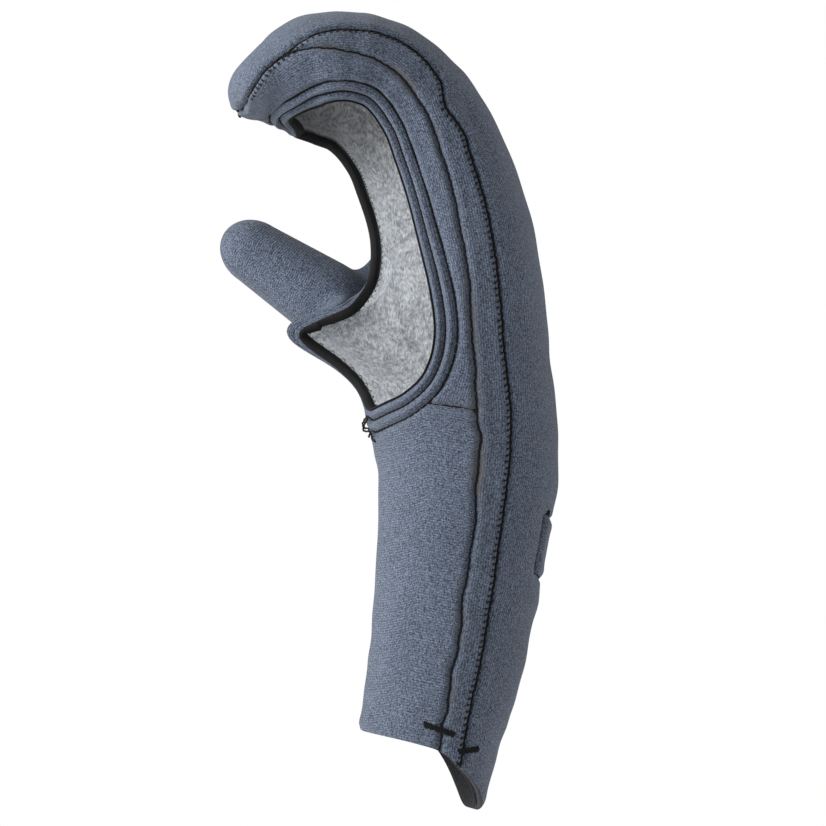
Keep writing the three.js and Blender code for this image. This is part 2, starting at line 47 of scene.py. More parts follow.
# x, z of the middle over LENGTH; half sizes to the back, palm and side over HAND_WIDTH;
# degrees round from the back of the hand of the overlocked and the blind seam
SECTIONS = np.array([
    [-0.021, -0.079, 0.225, 0.287, 0.340, 80, 100],
    [-0.008, 0.000, 0.256, 0.303, 0.351, 80, 100],
    [0.001, 0.064, 0.298, 0.305, 0.362, 80, 100],
    [0.013, 0.124, 0.321, 0.321, 0.367, 80, 100],
    [0.026, 0.209, 0.340, 0.340, 0.378, 80, 100],
    [0.041, 0.334, 0.372, 0.372, 0.404, 80, 100],
    [0.043, 0.409, 0.378, 0.410, 0.436, 80, 101],
    [0.039, 0.496, 0.356, 0.436, 0.479, 84, 103],
    [0.035, 0.584, 0.337, 0.394, 0.500, 87, 106],
    [0.017, 0.681, 0.330, 0.346, 0.500, 87, 108],
    [-0.012, 0.765, 0.300, 0.330, 0.500, 88, 107],
    [-0.047, 0.814, 0.293, 0.298, 0.495, 78, 104],
    [-0.085, 0.845, 0.280, 0.290, 0.489, 74, 101],
    [-0.127, 0.857, 0.260, 0.288, 0.479, 73, 98],
    [-0.172, 0.856, 0.232, 0.246, 0.447, 74, 93],
    [-0.204, 0.845, 0.180, 0.180, 0.372, 77, 82],
    [-0.229, 0.831, 0.132, 0.132, 0.287, 80, 80],
    [-0.247, 0.808, 0.110, 0.110, 0.240, 80, 80],
])
TIP = len(SECTIONS) - 1
ROUND_FROM = TIP - 1
NEAR_TIP = TIP - 1e-4
SEAM_DEPTH, DIP_WIDTH, STAIN_WIDTH = 0.0011, 0.0011, 0.0030
MOUTH_DEPTH = 0.0005
# the overlocked seam's corner: place, reach and degrees of two bells
SEAM_BELLS = ((10.42, 0.3, 5.5), (9.8, 0.2, -2.5))
# the blind seam's wander: degrees, rate and phase of two sines, calmer from place 6 to 7
SEAM_WANDER = ((0.9, 5.3, 0), (0.5, 11.7, 1))
# the thumb root's bulge: its middle, its rise and shift, its reach up and down the hand and
# degrees round it, and how many degrees it leans for each place below its middle
ROOT_AT, ROOT_ANGLE, ROOT_BULGE, ROOT_SHIFT = 7.7, 226, 0.037, 0.002
ROOT_UP, ROOT_DOWN, ROOT_AROUND, ROOT_LEAN = 0.42, 0.59, 60, 22


def smooth_curve(points, share, closed=False):
    """Cubic curve through points: its slope at each is half the step between its neighbours."""
    points = np.asarray(points, float)
    spans = len(points) if closed else len(points) - 1
    if closed:
        row = np.concatenate([points[-1:], points, points[:2]])
        along = np.mod(share, 1.0) * spans
    else:
        row = np.concatenate([2 * points[:1] - points[1:2], points, 2 * points[-1:] - points[-2:-1]])
        along = np.clip(share, 0, 1) * spans
    i = np.minimum(along.astype(int), spans - 1)
    t = (along - i)[..., None]
    a, b, c, d = (row[i + k] for k in range(4))
    return 0.5 * (2 * b + (c - a) * t + (2 * a - 5 * b + 4 * c - d) * t**2 + (3 * b - a - 3 * c + d) * t**3)


def unit(v):
    """v over its own length."""
    return v / np.maximum(np.linalg.norm(v, axis=-1, keepdims=True), 1e-12)


def smooth_step(x, low, high):
    """0 below low, 1 above high and a cubic between them."""
    t = np.clip((x - low) / (high - low), 0, 1)
    return t * t * (3 - 2 * t)


def seam_angle(at, which):
    """Degrees round the hand of the overlocked seam (which 0) or the blind seam (which 1): the
    sections' curve, plus two bells for the first one's corner or two sines of wander."""
    at = np.asarray(at, float)
    even = smooth_curve(SECTIONS[:, 5:7], at / TIP)[..., which]
    if which == 0:
        return even + sum(rise * np.exp(-((at - place) / reach) ** 2) for place, reach, rise in SEAM_BELLS)
    wander = sum(swing * np.sin(at * rate + phase) for swing, rate, phase in SEAM_WANDER)
    return even + wander * (1 - 0.7 * smooth_step(at, 6, 7))


def root_share(at, angle):
    """Share of the thumb root's bulge: a bell along the hand times a squared cosine round it."""
    rise = np.exp(-(((at - ROOT_AT) / np.where(at > ROOT_AT, ROOT_UP, ROOT_DOWN)) ** 2))
    turn = np.abs(np.mod(angle, 360) - ROOT_ANGLE + ROOT_LEAN * np.clip(ROOT_AT - at, 0, 1)) / ROOT_AROUND
    return np.where(turn < 1, rise * np.cos(np.minimum(turn, 1) * np.pi / 2) ** 2, 0)


def section_point(at, angle, depth=0.0):
    """A half-ellipse to the back and one to the palm round the middle line, less depth all
    round, closed over the fingertips by a quarter circle, and pushed out at the thumb's root."""
    share = np.clip(at / TIP, 0, 1)
    places = SECTIONS[:, :2] * LENGTH
    middle = smooth_curve(places, share)
    ahead = unit(smooth_curve(places, share + 1e-4) - smooth_curve(places, share - 1e-4))
    half = smooth_curve(SECTIONS[:, 2:5] * HAND_WIDTH, share)
    rounding = np.clip(at - ROUND_FROM, 0, 1)
    closing = np.sqrt(1 - rounding**2)
    c, s = np.cos(np.radians(angle)), np.sin(np.radians(angle))
    out = (np.where(c > 0, half[..., 0], half[..., 1]) - depth) * c * closing
    bulge = root_share(at, angle)
    x = middle[..., 0] - ahead[..., 0] * depth * rounding + ahead[..., 1] * out - ROOT_BULGE * bulge
    y = -(half[..., 2] - depth) * s * closing + ROOT_SHIFT * bulge
    z = middle[..., 1] - ahead[..., 1] * depth * rounding - ahead[..., 0] * out
    return np.stack([x, y, z], -1)


def facing(at, angle):
    """The surface's outward direction, from two short steps over it."""
    at = np.minimum(at, TIP - 1e-3)
    here = section_point(at, angle)
    along = section_point(at + 1e-3, angle) - here
    around = section_point(at, angle + 0.1) - here
    return unit(np.cross(along, around))


def skin(at, angle, depth=0.0):
    """The point depth below the mitten's outer face, along its facing, and near the
    fingertips' pole by shrinking the section instead."""
    at, angle, depth = np.broadcast_arrays(*(np.asarray(values, float) for values in (at, angle, depth)))
    to_pole = smooth_step(at, ROUND_FROM - 1.5, ROUND_FROM)[..., None]
    straight = section_point(at, angle) - facing(at, angle) * depth[..., None]
    return straight * (1 - to_pole) + section_point(at, angle, depth) * to_pole


# places of the cuff's mouth: degrees round from the back, and place along SECTIONS
MOUTH = np.array([
    [0, 0.46], [30, 0.54], [55, 0.76], [80, 0.97], [100, 1.20], [135, 1.32], [180, 1.46], [225, 1.70],
    [260, 1.72], [280, 1.64], [290, 1.52], [305, 1.24], [330, 0.76], [345, 0.52], [360, 0.46]])


def mouth_at(angle):
    """The mouth's table read with straight steps, then averaged over 12 degrees."""
    turned = (np.mod(angle + step, 360) for step in (-6, -3, 0, 3, 6))
    return np.mean([np.interp(place, MOUTH[:, 0], MOUTH[:, 1]) for place in turned], axis=0)


def seam_dip(distance, width=DIP_WIDTH):
    """A bell of the distance to a seam, less a wider and lower ring where the sheet swells."""
    ring = (distance / width / 2.7) ** 2
    return np.exp(-((distance / width) ** 2)) - 0.35 * ring * np.exp(1 - ring)


def distance_along(points, axis=0):
    """How far each point of a row or grid is from its first point, by steps along the axis."""
    steps = np.linalg.norm(np.diff(points, axis=axis), axis=-1)
    return np.insert(np.cumsum(steps, axis=axis), 0, 0.0, axis=axis)


def border_depth(points, first=0.0, last=0.0, low=0.0, high=0.0, width=DIP_WIDTH):
    """How deep a panel dips to the seams at its borders, each with its own depth."""
    down, over = distance_along(points, 0), distance_along(points, 1)
    return (first * seam_dip(down, width) + last * seam_dip(down[-1:] - down, width)
            + low * seam_dip(over, width) + high * seam_dip(over[:, -1:] - over, width))


def put_mesh(name, points, quads, uv, materials):
    """A new object with these corners, four-sided faces and corner map, shaded smooth."""
    mesh = bpy.data.meshes.new(name)
    mesh.vertices.add(len(points))
    mesh.vertices.foreach_set("co", points.astype(np.float32).ravel())
    mesh.loops.add(quads.size)
    mesh.loops.foreach_set("vertex_index", quads.astype(np.int32).ravel())
    mesh.polygons.add(len(quads))
    mesh.polygons.foreach_set("loop_start", np.arange(0, quads.size, 4, dtype=np.int32))
    mesh.polygons.foreach_set("use_smooth", np.ones(len(quads), bool))
    layer = mesh.uv_layers.new(name="UVMap")
    mesh.update(calc_edges=True)
    layer.data.foreach_set("uv", uv[quads.ravel()].astype(np.float32).ravel())
    for material in materials:
        mesh.materials.append(material)
    piece = bpy.data.objects.new(name, mesh)
    bpy.context.scene.collection.objects.link(piece)
    return piece


def grid_quads(rows, columns, closed=False, round_closed=False):
    """Corner numbers of the faces of a grid of rows by columns. closed joins the last row to the
    first, and round_closed the last column to the first."""
    i, j = np.meshgrid(np.arange(rows if closed else rows - 1),
                       np.arange(columns if round_closed else columns - 1), indexing="ij")
    n, m = (i + 1) % rows * columns, (j + 1) % columns
    i = i * columns
    return np.stack([i + j, n + j, n + m, i + m], -1).reshape(-1, 4)


def cloth_map(points):
    """Map in metres: the mean distance down the rows and the distance over each row."""
    over = distance_along(points, 1)
    down = distance_along(points, 0).mean(axis=1)[:, None]
    return np.stack(np.broadcast_arrays(over - over[:, -1:] / 2, down), -1)


def wall(name, outer, inner, materials, closed=False):
    """A closed sheet between two grids of points: both faces and the rims that join them. The
    rims take the second material where there is one."""
    rows, columns = outer.shape[:2]
    half = rows * columns
    face = grid_quads(rows, columns, closed)
    spans = rows if closed else rows - 1
    i = np.arange(spans)
    n = (i + 1) % rows
    rims = [np.stack([i * columns, i * columns + half, n * columns + half, n * columns], -1),
            np.stack([i * columns + columns - 1, n * columns + columns - 1,
                      n * columns + columns - 1 + half, i * columns + columns - 1 + half], -1)]
    if not closed:
        j = np.arange(columns - 1)
        last = (rows - 1) * columns
        rims += [np.stack([j, j + 1, j + 1 + half, j + half], -1),
                 np.stack([last + j, last + j + half, last + j + 1 + half, last + j + 1], -1)]
    quads = np.concatenate([face, face[:, ::-1] + half, *rims])
    rim_share = np.arange(len(quads)) >= 2 * len(face)
    points = np.concatenate([outer.reshape(-1, 3), inner.reshape(-1, 3)])
    a, b, c, d = (points[quads[:, k]] for k in range(4))
    if np.sum(np.einsum("ij,ij->i", a + b + c + d, np.cross(c - a, d - b))) < 0:
        quads = quads[:, ::-1]
    uv = cloth_map(outer).reshape(-1, 2)
    sheet = put_mesh(name, points, quads, np.concatenate([uv, uv]), materials)
    sheet.data.polygons.foreach_set("material_index", (rim_share & (len(materials) > 1)).astype(np.int32))
    return sheet


def add_node(tree, kind, sockets=None, **settings):
    """A node in tree: settings are its properties, and each socket takes a value or an output."""
    made = tree.nodes.new(kind)
    for name, value in settings.items():
        setattr(made, name, value)
    for name, value in (sockets or {}).items():
        if isinstance(value, bpy.types.NodeSocket):
            tree.links.new(value, made.inputs[name])
        else:
            made.inputs[name].default_value = value
    return made


def add_math(tree, operation, a, b=0.0):
    """The result of a Math node."""
    return add_node(tree, "ShaderNodeMath", {0: a, 1: b}, operation=operation).outputs[0]


def add_range(tree, value, low, high, at_low, at_high):
    """A value carried in a straight line from low and high to at_low and at_high, and clipped."""
    ends = {0: value, 1: low, 2: high, 3: at_low, 4: at_high}
    return add_node(tree, "ShaderNodeMapRange", ends).outputs[0]


def add_noise(tree, place, scale, detail):
    """Soft noise from 0 to 1, of about scale lumps to the metre."""
    sockets = {"Vector": place, "Scale": scale, "Detail": detail}
    return add_node(tree, "ShaderNodeTexNoise", sockets).outputs["Fac"]


def add_scaled(tree, vector, factor):
    """A vector or a colour times a number."""
    return add_node(tree, "ShaderNodeVectorMath", {0: vector, "Scale": factor}, operation="SCALE").outputs[0]


def map_in_mm(tree, mapped):
    """The cloth map's two parts in millimetres: across the piece and down it."""
    parts = add_node(tree, "ShaderNodeSeparateXYZ", {0: add_scaled(tree, mapped, 1000.0)}).outputs
    return parts["X"], parts["Y"]


def new_group(name, takes, gives=("Colour", "Roughness", "Height")):
    """An empty shader group. It takes a point's Map and Place, and what takes names: a colour
    where the value has four parts, or else a number."""
    tree = bpy.data.node_groups.new(name, "ShaderNodeTree")
    for label in ("Map", "Place"):
        tree.interface.new_socket(label, in_out="INPUT", socket_type="NodeSocketVector")
    for label, value in takes.items():
        kind = "NodeSocketFloat" if isinstance(value, float) else "NodeSocketColor"
        tree.interface.new_socket(label, in_out="INPUT", socket_type=kind).default_value = value
    for label in gives:
        kind = "NodeSocketColor" if label == "Colour" else "NodeSocketFloat"
        tree.interface.new_socket(label, in_out="OUTPUT", socket_type=kind)
    return tree, tree.nodes.new("NodeGroupInput").outputs, tree.nodes.new("NodeGroupOutput").inputs


def knit_group():
    """Jersey knit: columns of V-shaped stitches. Height is a wave down each column, bent into a
    V by the distance from its middle, less a furrow between columns, plus loose fibres. The
    colour is speckled as blended yarn is, varies in slow clouds and is tinted by a mask of glue;
    it is also painted darker in the furrows and in the troughs of the loops and lighter on their
    crests, painted shade and light that follow the relief."""
    takes = {"Colour": (0.1, 0.13, 0.19, 1), "Glue": 0.0, "Column mm": 1.0, "Row mm": 0.8}
    tree, given, out = new_group("jersey_knit", takes)
    calc, spread = partial(add_math, tree), partial(add_range, tree)
    noise = partial(add_noise, tree, given["Place"])
    x, y = map_in_mm(tree, given["Map"])
    wander = calc("MULTIPLY", noise(55.0, 2.0), 1.6)
    across = calc("DIVIDE", calc("ADD", x, wander), given["Column mm"])
    down = calc("DIVIDE", calc("ADD", y, wander), given["Row mm"])
    off_middle = calc("ABSOLUTE", calc("SUBTRACT", calc("FRACT", across), 0.5))
    leg = calc("ADD", down, calc("MULTIPLY", off_middle, 1.3))
    loop = calc("SINE", calc("MULTIPLY", leg, 2 * math.pi))
    furrow = calc("COSINE", calc("MULTIPLY", off_middle, 2 * math.pi))
    fibres, lumps = noise(2600.0, 3.0), noise(420.0, 3.0)
    speckle, cloudy = noise(1500.0, 2.0), noise(30.0, 4.0)
    height = calc("MULTIPLY", loop, 0.30)
    for part, share in ((furrow, 0.35), (fibres, 0.9), (lumps, 1.1)):
        height = calc("ADD", height, calc("MULTIPLY", part, share))
    # the speckle and cloudy factors are the yarn's own tone; the furrow and loop factors are painted shade
    # and light, darker where the relief is low and lighter where it is high
    light = spread(speckle, 0.34, 0.66, 0.36, 1.82)
    for shade in (spread(cloudy, 0.3, 0.7, 0.92, 1.08), spread(furrow, -1.0, 1.0, 0.70, 1.12),
                  spread(loop, -1.0, 1.0, 0.82, 1.14)):
        light = calc("MULTIPLY", light, shade)
    patchy = calc("MULTIPLY", given["Glue"], spread(cloudy, 0.46, 0.62, 0.0, 0.9))
    tints = {"Factor": patchy, "A": add_scaled(tree, given["Colour"], light), "B": (0.046, 0.044, 0.040, 1)}
    glued = add_node(tree, "ShaderNodeMix", tints, data_type="RGBA")
    tree.links.new(glued.outputs[2], out["Colour"])
    tree.links.new(calc("ADD", 0.80, calc("MULTIPLY", speckle, 0.15)), out["Roughness"])
    tree.links.new(height, out["Height"])
    return tree


CLOTH_SPECULAR, SHEEN_ROUGHNESS = 0.15, 0.5


def cloth_material(name, group, values, bump, sheen=0.0, attribute=None, roughness=None):
    """A cloth finish: a group's colour and height on one shader, with the group's roughness or
    one even roughness, and its own sheen."""
    material = bpy.data.materials.new(name)
    material.use_nodes = True
    tree = material.node_tree
    shader = tree.nodes["Principled BSDF"]
    mapped = add_node(tree, "ShaderNodeUVMap", uv_map="UVMap").outputs[0]
    place = add_node(tree, "ShaderNodeTexCoord").outputs["Object"]
    woven = add_node(tree, "ShaderNodeGroup", node_tree=group)
    tree.links.new(mapped, woven.inputs["Map"])
    tree.links.new(place, woven.inputs["Place"])
    for label, value in values.items():
        woven.inputs[label].default_value = value
    if attribute:
        mask = add_node(tree, "ShaderNodeAttribute", attribute_name=attribute)
        tree.links.new(mask.outputs["Fac"], woven.inputs[attribute.capitalize()])
    relief = {"Height": woven.outputs["Height"], "Distance": bump, "Strength": 1.0}
    lifted = add_node(tree, "ShaderNodeBump", relief)
    tree.links.new(woven.outputs["Colour"], shader.inputs["Base Color"])
    if roughness is None:
        tree.links.new(woven.outputs["Roughness"], shader.inputs["Roughness"])
    else:
        shader.inputs["Roughness"].default_value = roughness
    tree.links.new(lifted.outputs["Normal"], shader.inputs["Normal"])
    shader.inputs["Specular IOR Level"].default_value = CLOTH_SPECULAR
    shader.inputs["Sheen Weight"].default_value = sheen
    shader.inputs["Sheen Roughness"].default_value = SHEEN_ROUGHNESS
    return material


KNIT_COLOUR, KNIT_BUMP, KNIT_SHEEN = (0.048, 0.060, 0.084, 1), 0.00014, 0.08
jersey_knit = knit_group()
knit = cloth_material("blue_grey_knit", jersey_knit, {"Colour": KNIT_COLOUR}, KNIT_BUMP, KNIT_SHEEN, "glue")


def mark(piece, name, values):
    """Keeps one number for each corner of a piece's mesh, for its material to read."""
    layer = piece.data.attributes.new(name, "FLOAT", "POINT")
    layer.data.foreach_set("value", np.asarray(values, np.float32).ravel())


def core_group():
    """Foam rubber's cut edge: cells from a Voronoi pattern in a nearly black rubber. The colour is
    painted darker towards the middle of each cell, where the relief sinks: painted shade in the
    pores.
    """
    tree, given, out = new_group("foam_core", {"Colour": (0.02, 0.02, 0.022, 1)})
    pattern = add_node(tree, "ShaderNodeTexVoronoi", {"Vector": given["Place"], "Scale": 2400.0})
    cells = pattern.outputs["Distance"]
    # painted shade: darker where the cell's relief is lowest
    shade = add_range(tree, cells, 0.0, 0.8, 0.6, 1.5)
    tree.links.new(add_scaled(tree, given["Colour"], shade), out["Colour"])
    tree.links.new(add_range(tree, cells, 0.0, 1.0, 0.75, 0.95), out["Roughness"])
    tree.links.new(cells, out["Height"])
    return tree


core = cloth_material("foam_core", core_group(), {"Colour": (0.022, 0.022, 0.025, 1)}, 0.0001)
# half the gap that two panels leave at a seam, in metres and in degrees of the mean half size
SEAM_GAP = 0.00006
HALF_GAP = math.degrees(SEAM_GAP / (0.38 * HAND_WIDTH))
PATCH_FROM, PATCH_TO, PATCH_ANGLE, PATCH_BED = 4.27, 4.80, 40.0, 0.0017
# dents in the sheet: place and angle, reach along the hand and round it, and depth
DENTS = np.array([
    [10.05, 73, 0.40, 7, 0.0015],
    [10.75, 70, 0.50, 9, -0.0008],
    [1.72, 166, 0.06, 2.2, 0.0010],
    [5.10, 0, 0.20, 70, -0.0008],
    [4.02, 0, 0.16, 70, -0.0009],
    [12.8, 25, 1.0, 22, 0.0006],
    [8.3, 40, 1.2, 16, 0.0005],
    [3.1, 130, 0.8, 14, 0.0006],
    [5.6, 140, 0.5, 18, -0.0006],
    [13.6, 118, 0.7, 10, -0.0006],
])


def dents(at, angle):
    """Depth of the sheet's unevenness: a bell for each of DENTS, a flat bed below the wrist
    patch, and two slow waves."""
    at, angle = np.broadcast_arrays(np.asarray(at, float), np.asarray(angle, float))
    away = np.mod(angle[..., None] - DENTS[:, 1] + 180, 360) - 180
    ahead = at[..., None] - DENTS[:, 0]
    bells = np.exp(-(ahead / DENTS[:, 2]) ** 2 - (away / DENTS[:, 3]) ** 2) @ DENTS[:, 4]
    from_back = np.abs(np.mod(angle + 180, 360) - 180)
    bed = 1 - smooth_step(from_back, PATCH_ANGLE - 1, PATCH_ANGLE + 5)
    bed = bed * (smooth_step(at, PATCH_FROM - 0.06, PATCH_FROM + 0.02)
                 - smooth_step(at, PATCH_TO - 0.02, PATCH_TO + 0.06))
    turn = np.radians(angle)
    waves = 0.00022 * np.sin(at * 4.1 + 3 * turn) * np.sin(at * 1.7 - 2 * turn)
    waves = waves + 0.00012 * np.sin(at * 9.3 - turn)
    return bells + PATCH_BED * bed + waves * (1 - smooth_step(at, 14, 16))


def crowded(count, crowd=0.8):
    """count shares from 0 to 1, closer together towards both ends: even steps less a sine."""
    even = np.linspace(0, 1, count)
    return even - crowd * np.sin(2 * np.pi * even) / (2 * np.pi)


def foam_panel(name, at, angle, dips, materials, glued=()):
    """A panel over a grid of places, sunk by border_depth and dents. Along its glued borders the
    knit is stained a few millimetres wide."""
    flat = skin(at, angle)
    sunk = border_depth(flat, **dips) + dents(at, angle)
    panel = wall(name, skin(at, angle, sunk), skin(at, angle, FOAM), materials)
    stain = np.maximum(border_depth(flat, **{border: 1.0 for border in glued}, width=STAIN_WIDTH), 0)
    mark(panel, "glue", np.concatenate([stain.ravel(), stain.ravel()]))
    return panel


# rows: 29 in the tail, and 260 from place 2 on, closer together towards the fingertips
side = 1 - 2 * crowded(97)
down = np.concatenate([np.linspace(0, 1, 30)[:-1], 1 + np.linspace(0, 1, 260) ** 0.9 * (TIP - 2)])
down[-1] = NEAR_TIP - 1
end_angle = seam_angle(np.maximum(np.minimum(down + 1, TIP), 1), 0) - HALF_GAP
back_angle = side[None, :] * np.where(down < 1, seam_angle(1.0, 0) - HALF_GAP, end_angle)[:, None]
mouth = mouth_at(back_angle)
back_at = np.where(down[:, None] < 1, mouth + (2 - mouth) * down[:, None], down[:, None] + 1)
back_panel = foam_panel("back_of_hand", back_at, back_angle,
                        dict(low=SEAM_DEPTH, high=SEAM_DEPTH, first=MOUTH_DEPTH), [knit, core])
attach(back_panel, "root")
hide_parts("back_panel")

# Side strip
# A narrow strip of the same sheet along the little finger, between the overlocked seam and a
# glued and blind-stitched seam. It runs out to a point beside the fingertips.
STRIP_ENDS_AT = 15.0
over = crowded(30, 0.5)
down = np.concatenate([np.linspace(0, 1, 24)[:-1], 1 + np.linspace(0, 1, 240) * (STRIP_ENDS_AT - 2)])


def strip_angle(at):
    """Evenly from the overlocked seam to the blind seam."""
    start, end = seam_angle(at, 0) + HALF_GAP, seam_angle(at, 1) - HALF_GAP
    return start + (end - start) * over[None, :]


mouth = mouth_at(strip_angle(np.ones((1, 1))))
strip_at = np.where(down[:, None] < 1, mouth + (2 - mouth) * down[:, None], down[:, None] + 1)
side_strip = foam_panel("little_finger_strip", strip_at, strip_angle(down[:, None] + 1),
                        dict(low=SEAM_DEPTH, high=SEAM_DEPTH, first=MOUTH_DEPTH), [knit, core], ("high",))
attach(side_strip, "root")
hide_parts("side_strip")

# Finger hood
# The palm side of the fingers: a U-shaped panel that runs up from the cross seam beside the
# little finger, over the fingertips and down to the thumb. Its inner edge is the hem of the palm.

# the edge of the open palm: place along SECTIONS and degrees round, from the heel of the hand
# up the little-finger side, over the fingertips and down the thumb side.
PALM_EDGE = np.array([
    [6.38, 180], [6.40, 160], [6.48, 144], [6.72, 130], [7.20, 124], [8.00, 130], [9.00, 138],
    [10.4, 139], [12.0, 136], [13.2, 136], [14.1, 147], [14.8, 162], [15.1, 180], [14.8, 198],
    [14.1, 213], [13.2, 222], [12.0, 222], [10.4, 221], [9.40, 222], [9.00, 218], [8.70, 211],
    [8.40, 201], [8.15, 193], [7.95, 191], [7.78, 196], [7.62, 203], [7.40, 207], [7.10, 207],
    [6.75, 203], [6.48, 192],
])
# millimetres for a place and for a degree in the flat chart where the edge is drawn, and the
# edge's length over the hand in metres
CHART, EDGE_LENGTH = np.array([25.0, 0.7]), 0.519
HEM_WIDTH = 0.0095
HEM_JOIN = HEM_WIDTH + SEAM_GAP
CROSS_AT, CROSS_SHARE, TIP_SHARE = 6.13, 0.06, 0.515
ROOT_TOP_AT, ROOT_BOTTOM_AT, ROOT_TOP_SHARE, ROOT_BOTTOM_SHARE = 9.25, 6.5, 0.825, 0.955


def palm_edge(share):
    """The closed curve through PALM_EDGE, drawn in a flat chart, by shares of its length there."""
    fine = np.linspace(0, 1, 2001)
    route = smooth_curve(PALM_EDGE * CHART, fine, closed=True)
    length = distance_along(route)
    t = np.interp(np.mod(share, 1.0), length / length[-1], fine)
    place = smooth_curve(PALM_EDGE * CHART, t, closed=True) / CHART
    return place[..., 0], place[..., 1]


def beside_palm(share, distance):
    """The place that lies distance from the palm's edge over the surface, reached in 6 steps. The
    ways of nearby places are averaged, over more of the edge for a longer way."""
    share, distance = np.broadcast_arrays(np.asarray(share, float), np.asarray(distance, float))
    first_at, first_angle = palm_edge(share)
    way_at, way_angle = np.zeros(share.shape), np.zeros(share.shape)
    steps, step, reaches = 6, 0.01, (-0.9, -0.45, 0.0, 0.45, 0.9)
    for nearby in reaches:
        near = share + nearby * distance / EDGE_LENGTH
        at, angle = palm_edge(near)
        way_at, way_angle = way_at - at, way_angle - angle
        heading = unit(section_point(*palm_edge(near + 0.002)) - section_point(*palm_edge(near - 0.002)))
        away = np.cross(heading, facing(at, angle))
        for _ in range(steps):
            here = section_point(at, angle)
            along = (section_point(at + step, angle) - here) / step
            around = (section_point(at, angle + step) - here) / step
            aa, ar, rr = (np.sum(p * q, -1) for p, q in ((along, along), (along, around), (around, around)))
            da, dr = np.sum(away * along, -1), np.sum(away * around, -1)
            scale = distance / steps / (aa * rr - ar**2)
            at, angle = at + scale * (da * rr - dr * ar), angle + scale * (dr * aa - da * ar)
        way_at, way_angle = way_at + at, way_angle + angle
    return first_at + way_at / len(reaches), first_angle + way_angle / len(reaches)


def hood_places(clears, stops):
    """Columns from the palm's edge out to the seams: first the rows at the distances clears,
    then even steps to the blind seam on the near side and the overlocked seam on the far side."""
    near, far = np.linspace(CROSS_AT, TIP, 230), np.linspace(TIP, ROOT_TOP_AT, 190)[1:]
    near_share = CROSS_SHARE + (TIP_SHARE - CROSS_SHARE) * (near - CROSS_AT) / (TIP - CROSS_AT)
    far_share = ROOT_TOP_SHARE + (TIP_SHARE - ROOT_TOP_SHARE) * (far - ROOT_TOP_AT) / (TIP - ROOT_TOP_AT)
    at = np.concatenate([near, far])
    share = np.concatenate([near_share, far_share])
    outer = np.concatenate([seam_angle(near, 1) + HALF_GAP, 360 - seam_angle(far, 0) - HALF_GAP])
    to_tip = smooth_step(at, TIP - 0.06, TIP)
    outer = outer + (180 - outer) * to_tip
    inner = [beside_palm(share, clear) for clear in clears]
    last_at, last_angle = inner[-1]
    rows = inner + [(last_at + (at - last_at) * v, last_angle + (outer - last_angle) * v) for v in stops]
    return np.stack([r[0] for r in rows], 1), np.stack([r[1] for r in rows], 1)


CROSS_DEPTH = 0.0008
hood_at, hood_angle = hood_places([HEM_JOIN], crowded(38)[1:])
finger_hood = foam_panel("hood_over_fingers", hood_at, hood_angle,
                         dict(low=SEAM_DEPTH, high=SEAM_DEPTH, first=CROSS_DEPTH, last=CROSS_DEPTH),
                         [knit, core], ("high", "first"))
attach(finger_hood, "root")
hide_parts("finger_hood")

# Palm side of the cuff
# The palm side of the wrist and cuff, from the straight hem at the mouth up to the cross seam,
# the heel of the open palm and the thumb's root.
LINING_SPLIT_AT = 4.5
# columns along the heel of the palm and along each seam beside it
HEEL_COLUMNS, SEAM_COLUMNS = 90, 27


def wrist_columns(clear):
    """Feet round the mouth and tops along the cross seam, the palm's heel and the thumb's foot."""
    share = np.linspace(ROOT_BOTTOM_SHARE, 1 + CROSS_SHARE, HEEL_COLUMNS + 1)[::-1]
    hem_at, hem_angle = beside_palm(share, clear)
    step = np.linspace(0, 1, SEAM_COLUMNS + 1)[:-1]
    cross_at, cross_angle = CROSS_AT, seam_angle(CROSS_AT, 1) + HALF_GAP
    thumb_at, thumb_angle = ROOT_BOTTOM_AT, 360 - seam_angle(ROOT_BOTTOM_AT, 0) - HALF_GAP
    at = np.concatenate([cross_at + (hem_at[0] - cross_at) * step, hem_at,
                         (thumb_at + (hem_at[-1] - thumb_at) * step)[::-1]])
    angle = np.concatenate([cross_angle + (hem_angle[0] - cross_angle) * step, hem_angle,
                            (thumb_angle + (hem_angle[-1] - thumb_angle) * step)[::-1]])
    foot = np.linspace(100 + HALF_GAP, 280 - HALF_GAP, len(at))
    return foot, at, angle


def up_column(foot, top_at, top_angle, at):
    """Straight up from the foot, and above LINING_SPLIT_AT evenly over to the top."""
    lean = np.maximum(0, (at - LINING_SPLIT_AT) / (top_at - LINING_SPLIT_AT))
    return foot + (top_angle - foot) * lean


foot, top_at, top_angle = wrist_columns(HEM_JOIN)
rise = crowded(150)[None, :]
start = mouth_at(foot)[:, None]
wrist_at = start + (top_at[:, None] - start) * rise
wrist_angle = up_column(foot[:, None], top_at[:, None], top_angle[:, None], wrist_at)
# the first 12 degrees follow the blind seam's wander
off_seam = seam_angle(wrist_at, 1) + HALF_GAP - up_column(foot[0], top_at[0], top_angle[0], wrist_at)
wrist_angle += off_seam * np.maximum(0, 1 - (foot - foot[0]) / 12)[:, None]
cuff_palm = foam_panel("palm_side_of_cuff", wrist_at, wrist_angle,
                       dict(low=MOUTH_DEPTH, high=SEAM_DEPTH, first=SEAM_DEPTH, last=SEAM_DEPTH),
                       [knit, core], ("first",))
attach(cuff_palm, "root")
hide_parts("cuff_palm_panel")

# Thumb stall
# The thumb, cut with a wide root that is sewn to the hem in front and to the overlocked seam
# behind, and narrows to a plump round end.
THUMB_LENGTH, THUMB_JOINED, THUMB_ROUND = 0.078, 0.36, 0.8
THUMB_ROOT_RADIUS, THUMB_TIP_RADIUS, ROOT_FLARE = 0.019, 0.0132, 0.009
THUMB_DIRECTION = unit(np.array([-0.80, 0.22, 0.558]))
THUMB_SET = np.array([-0.001, 0, -0.007])


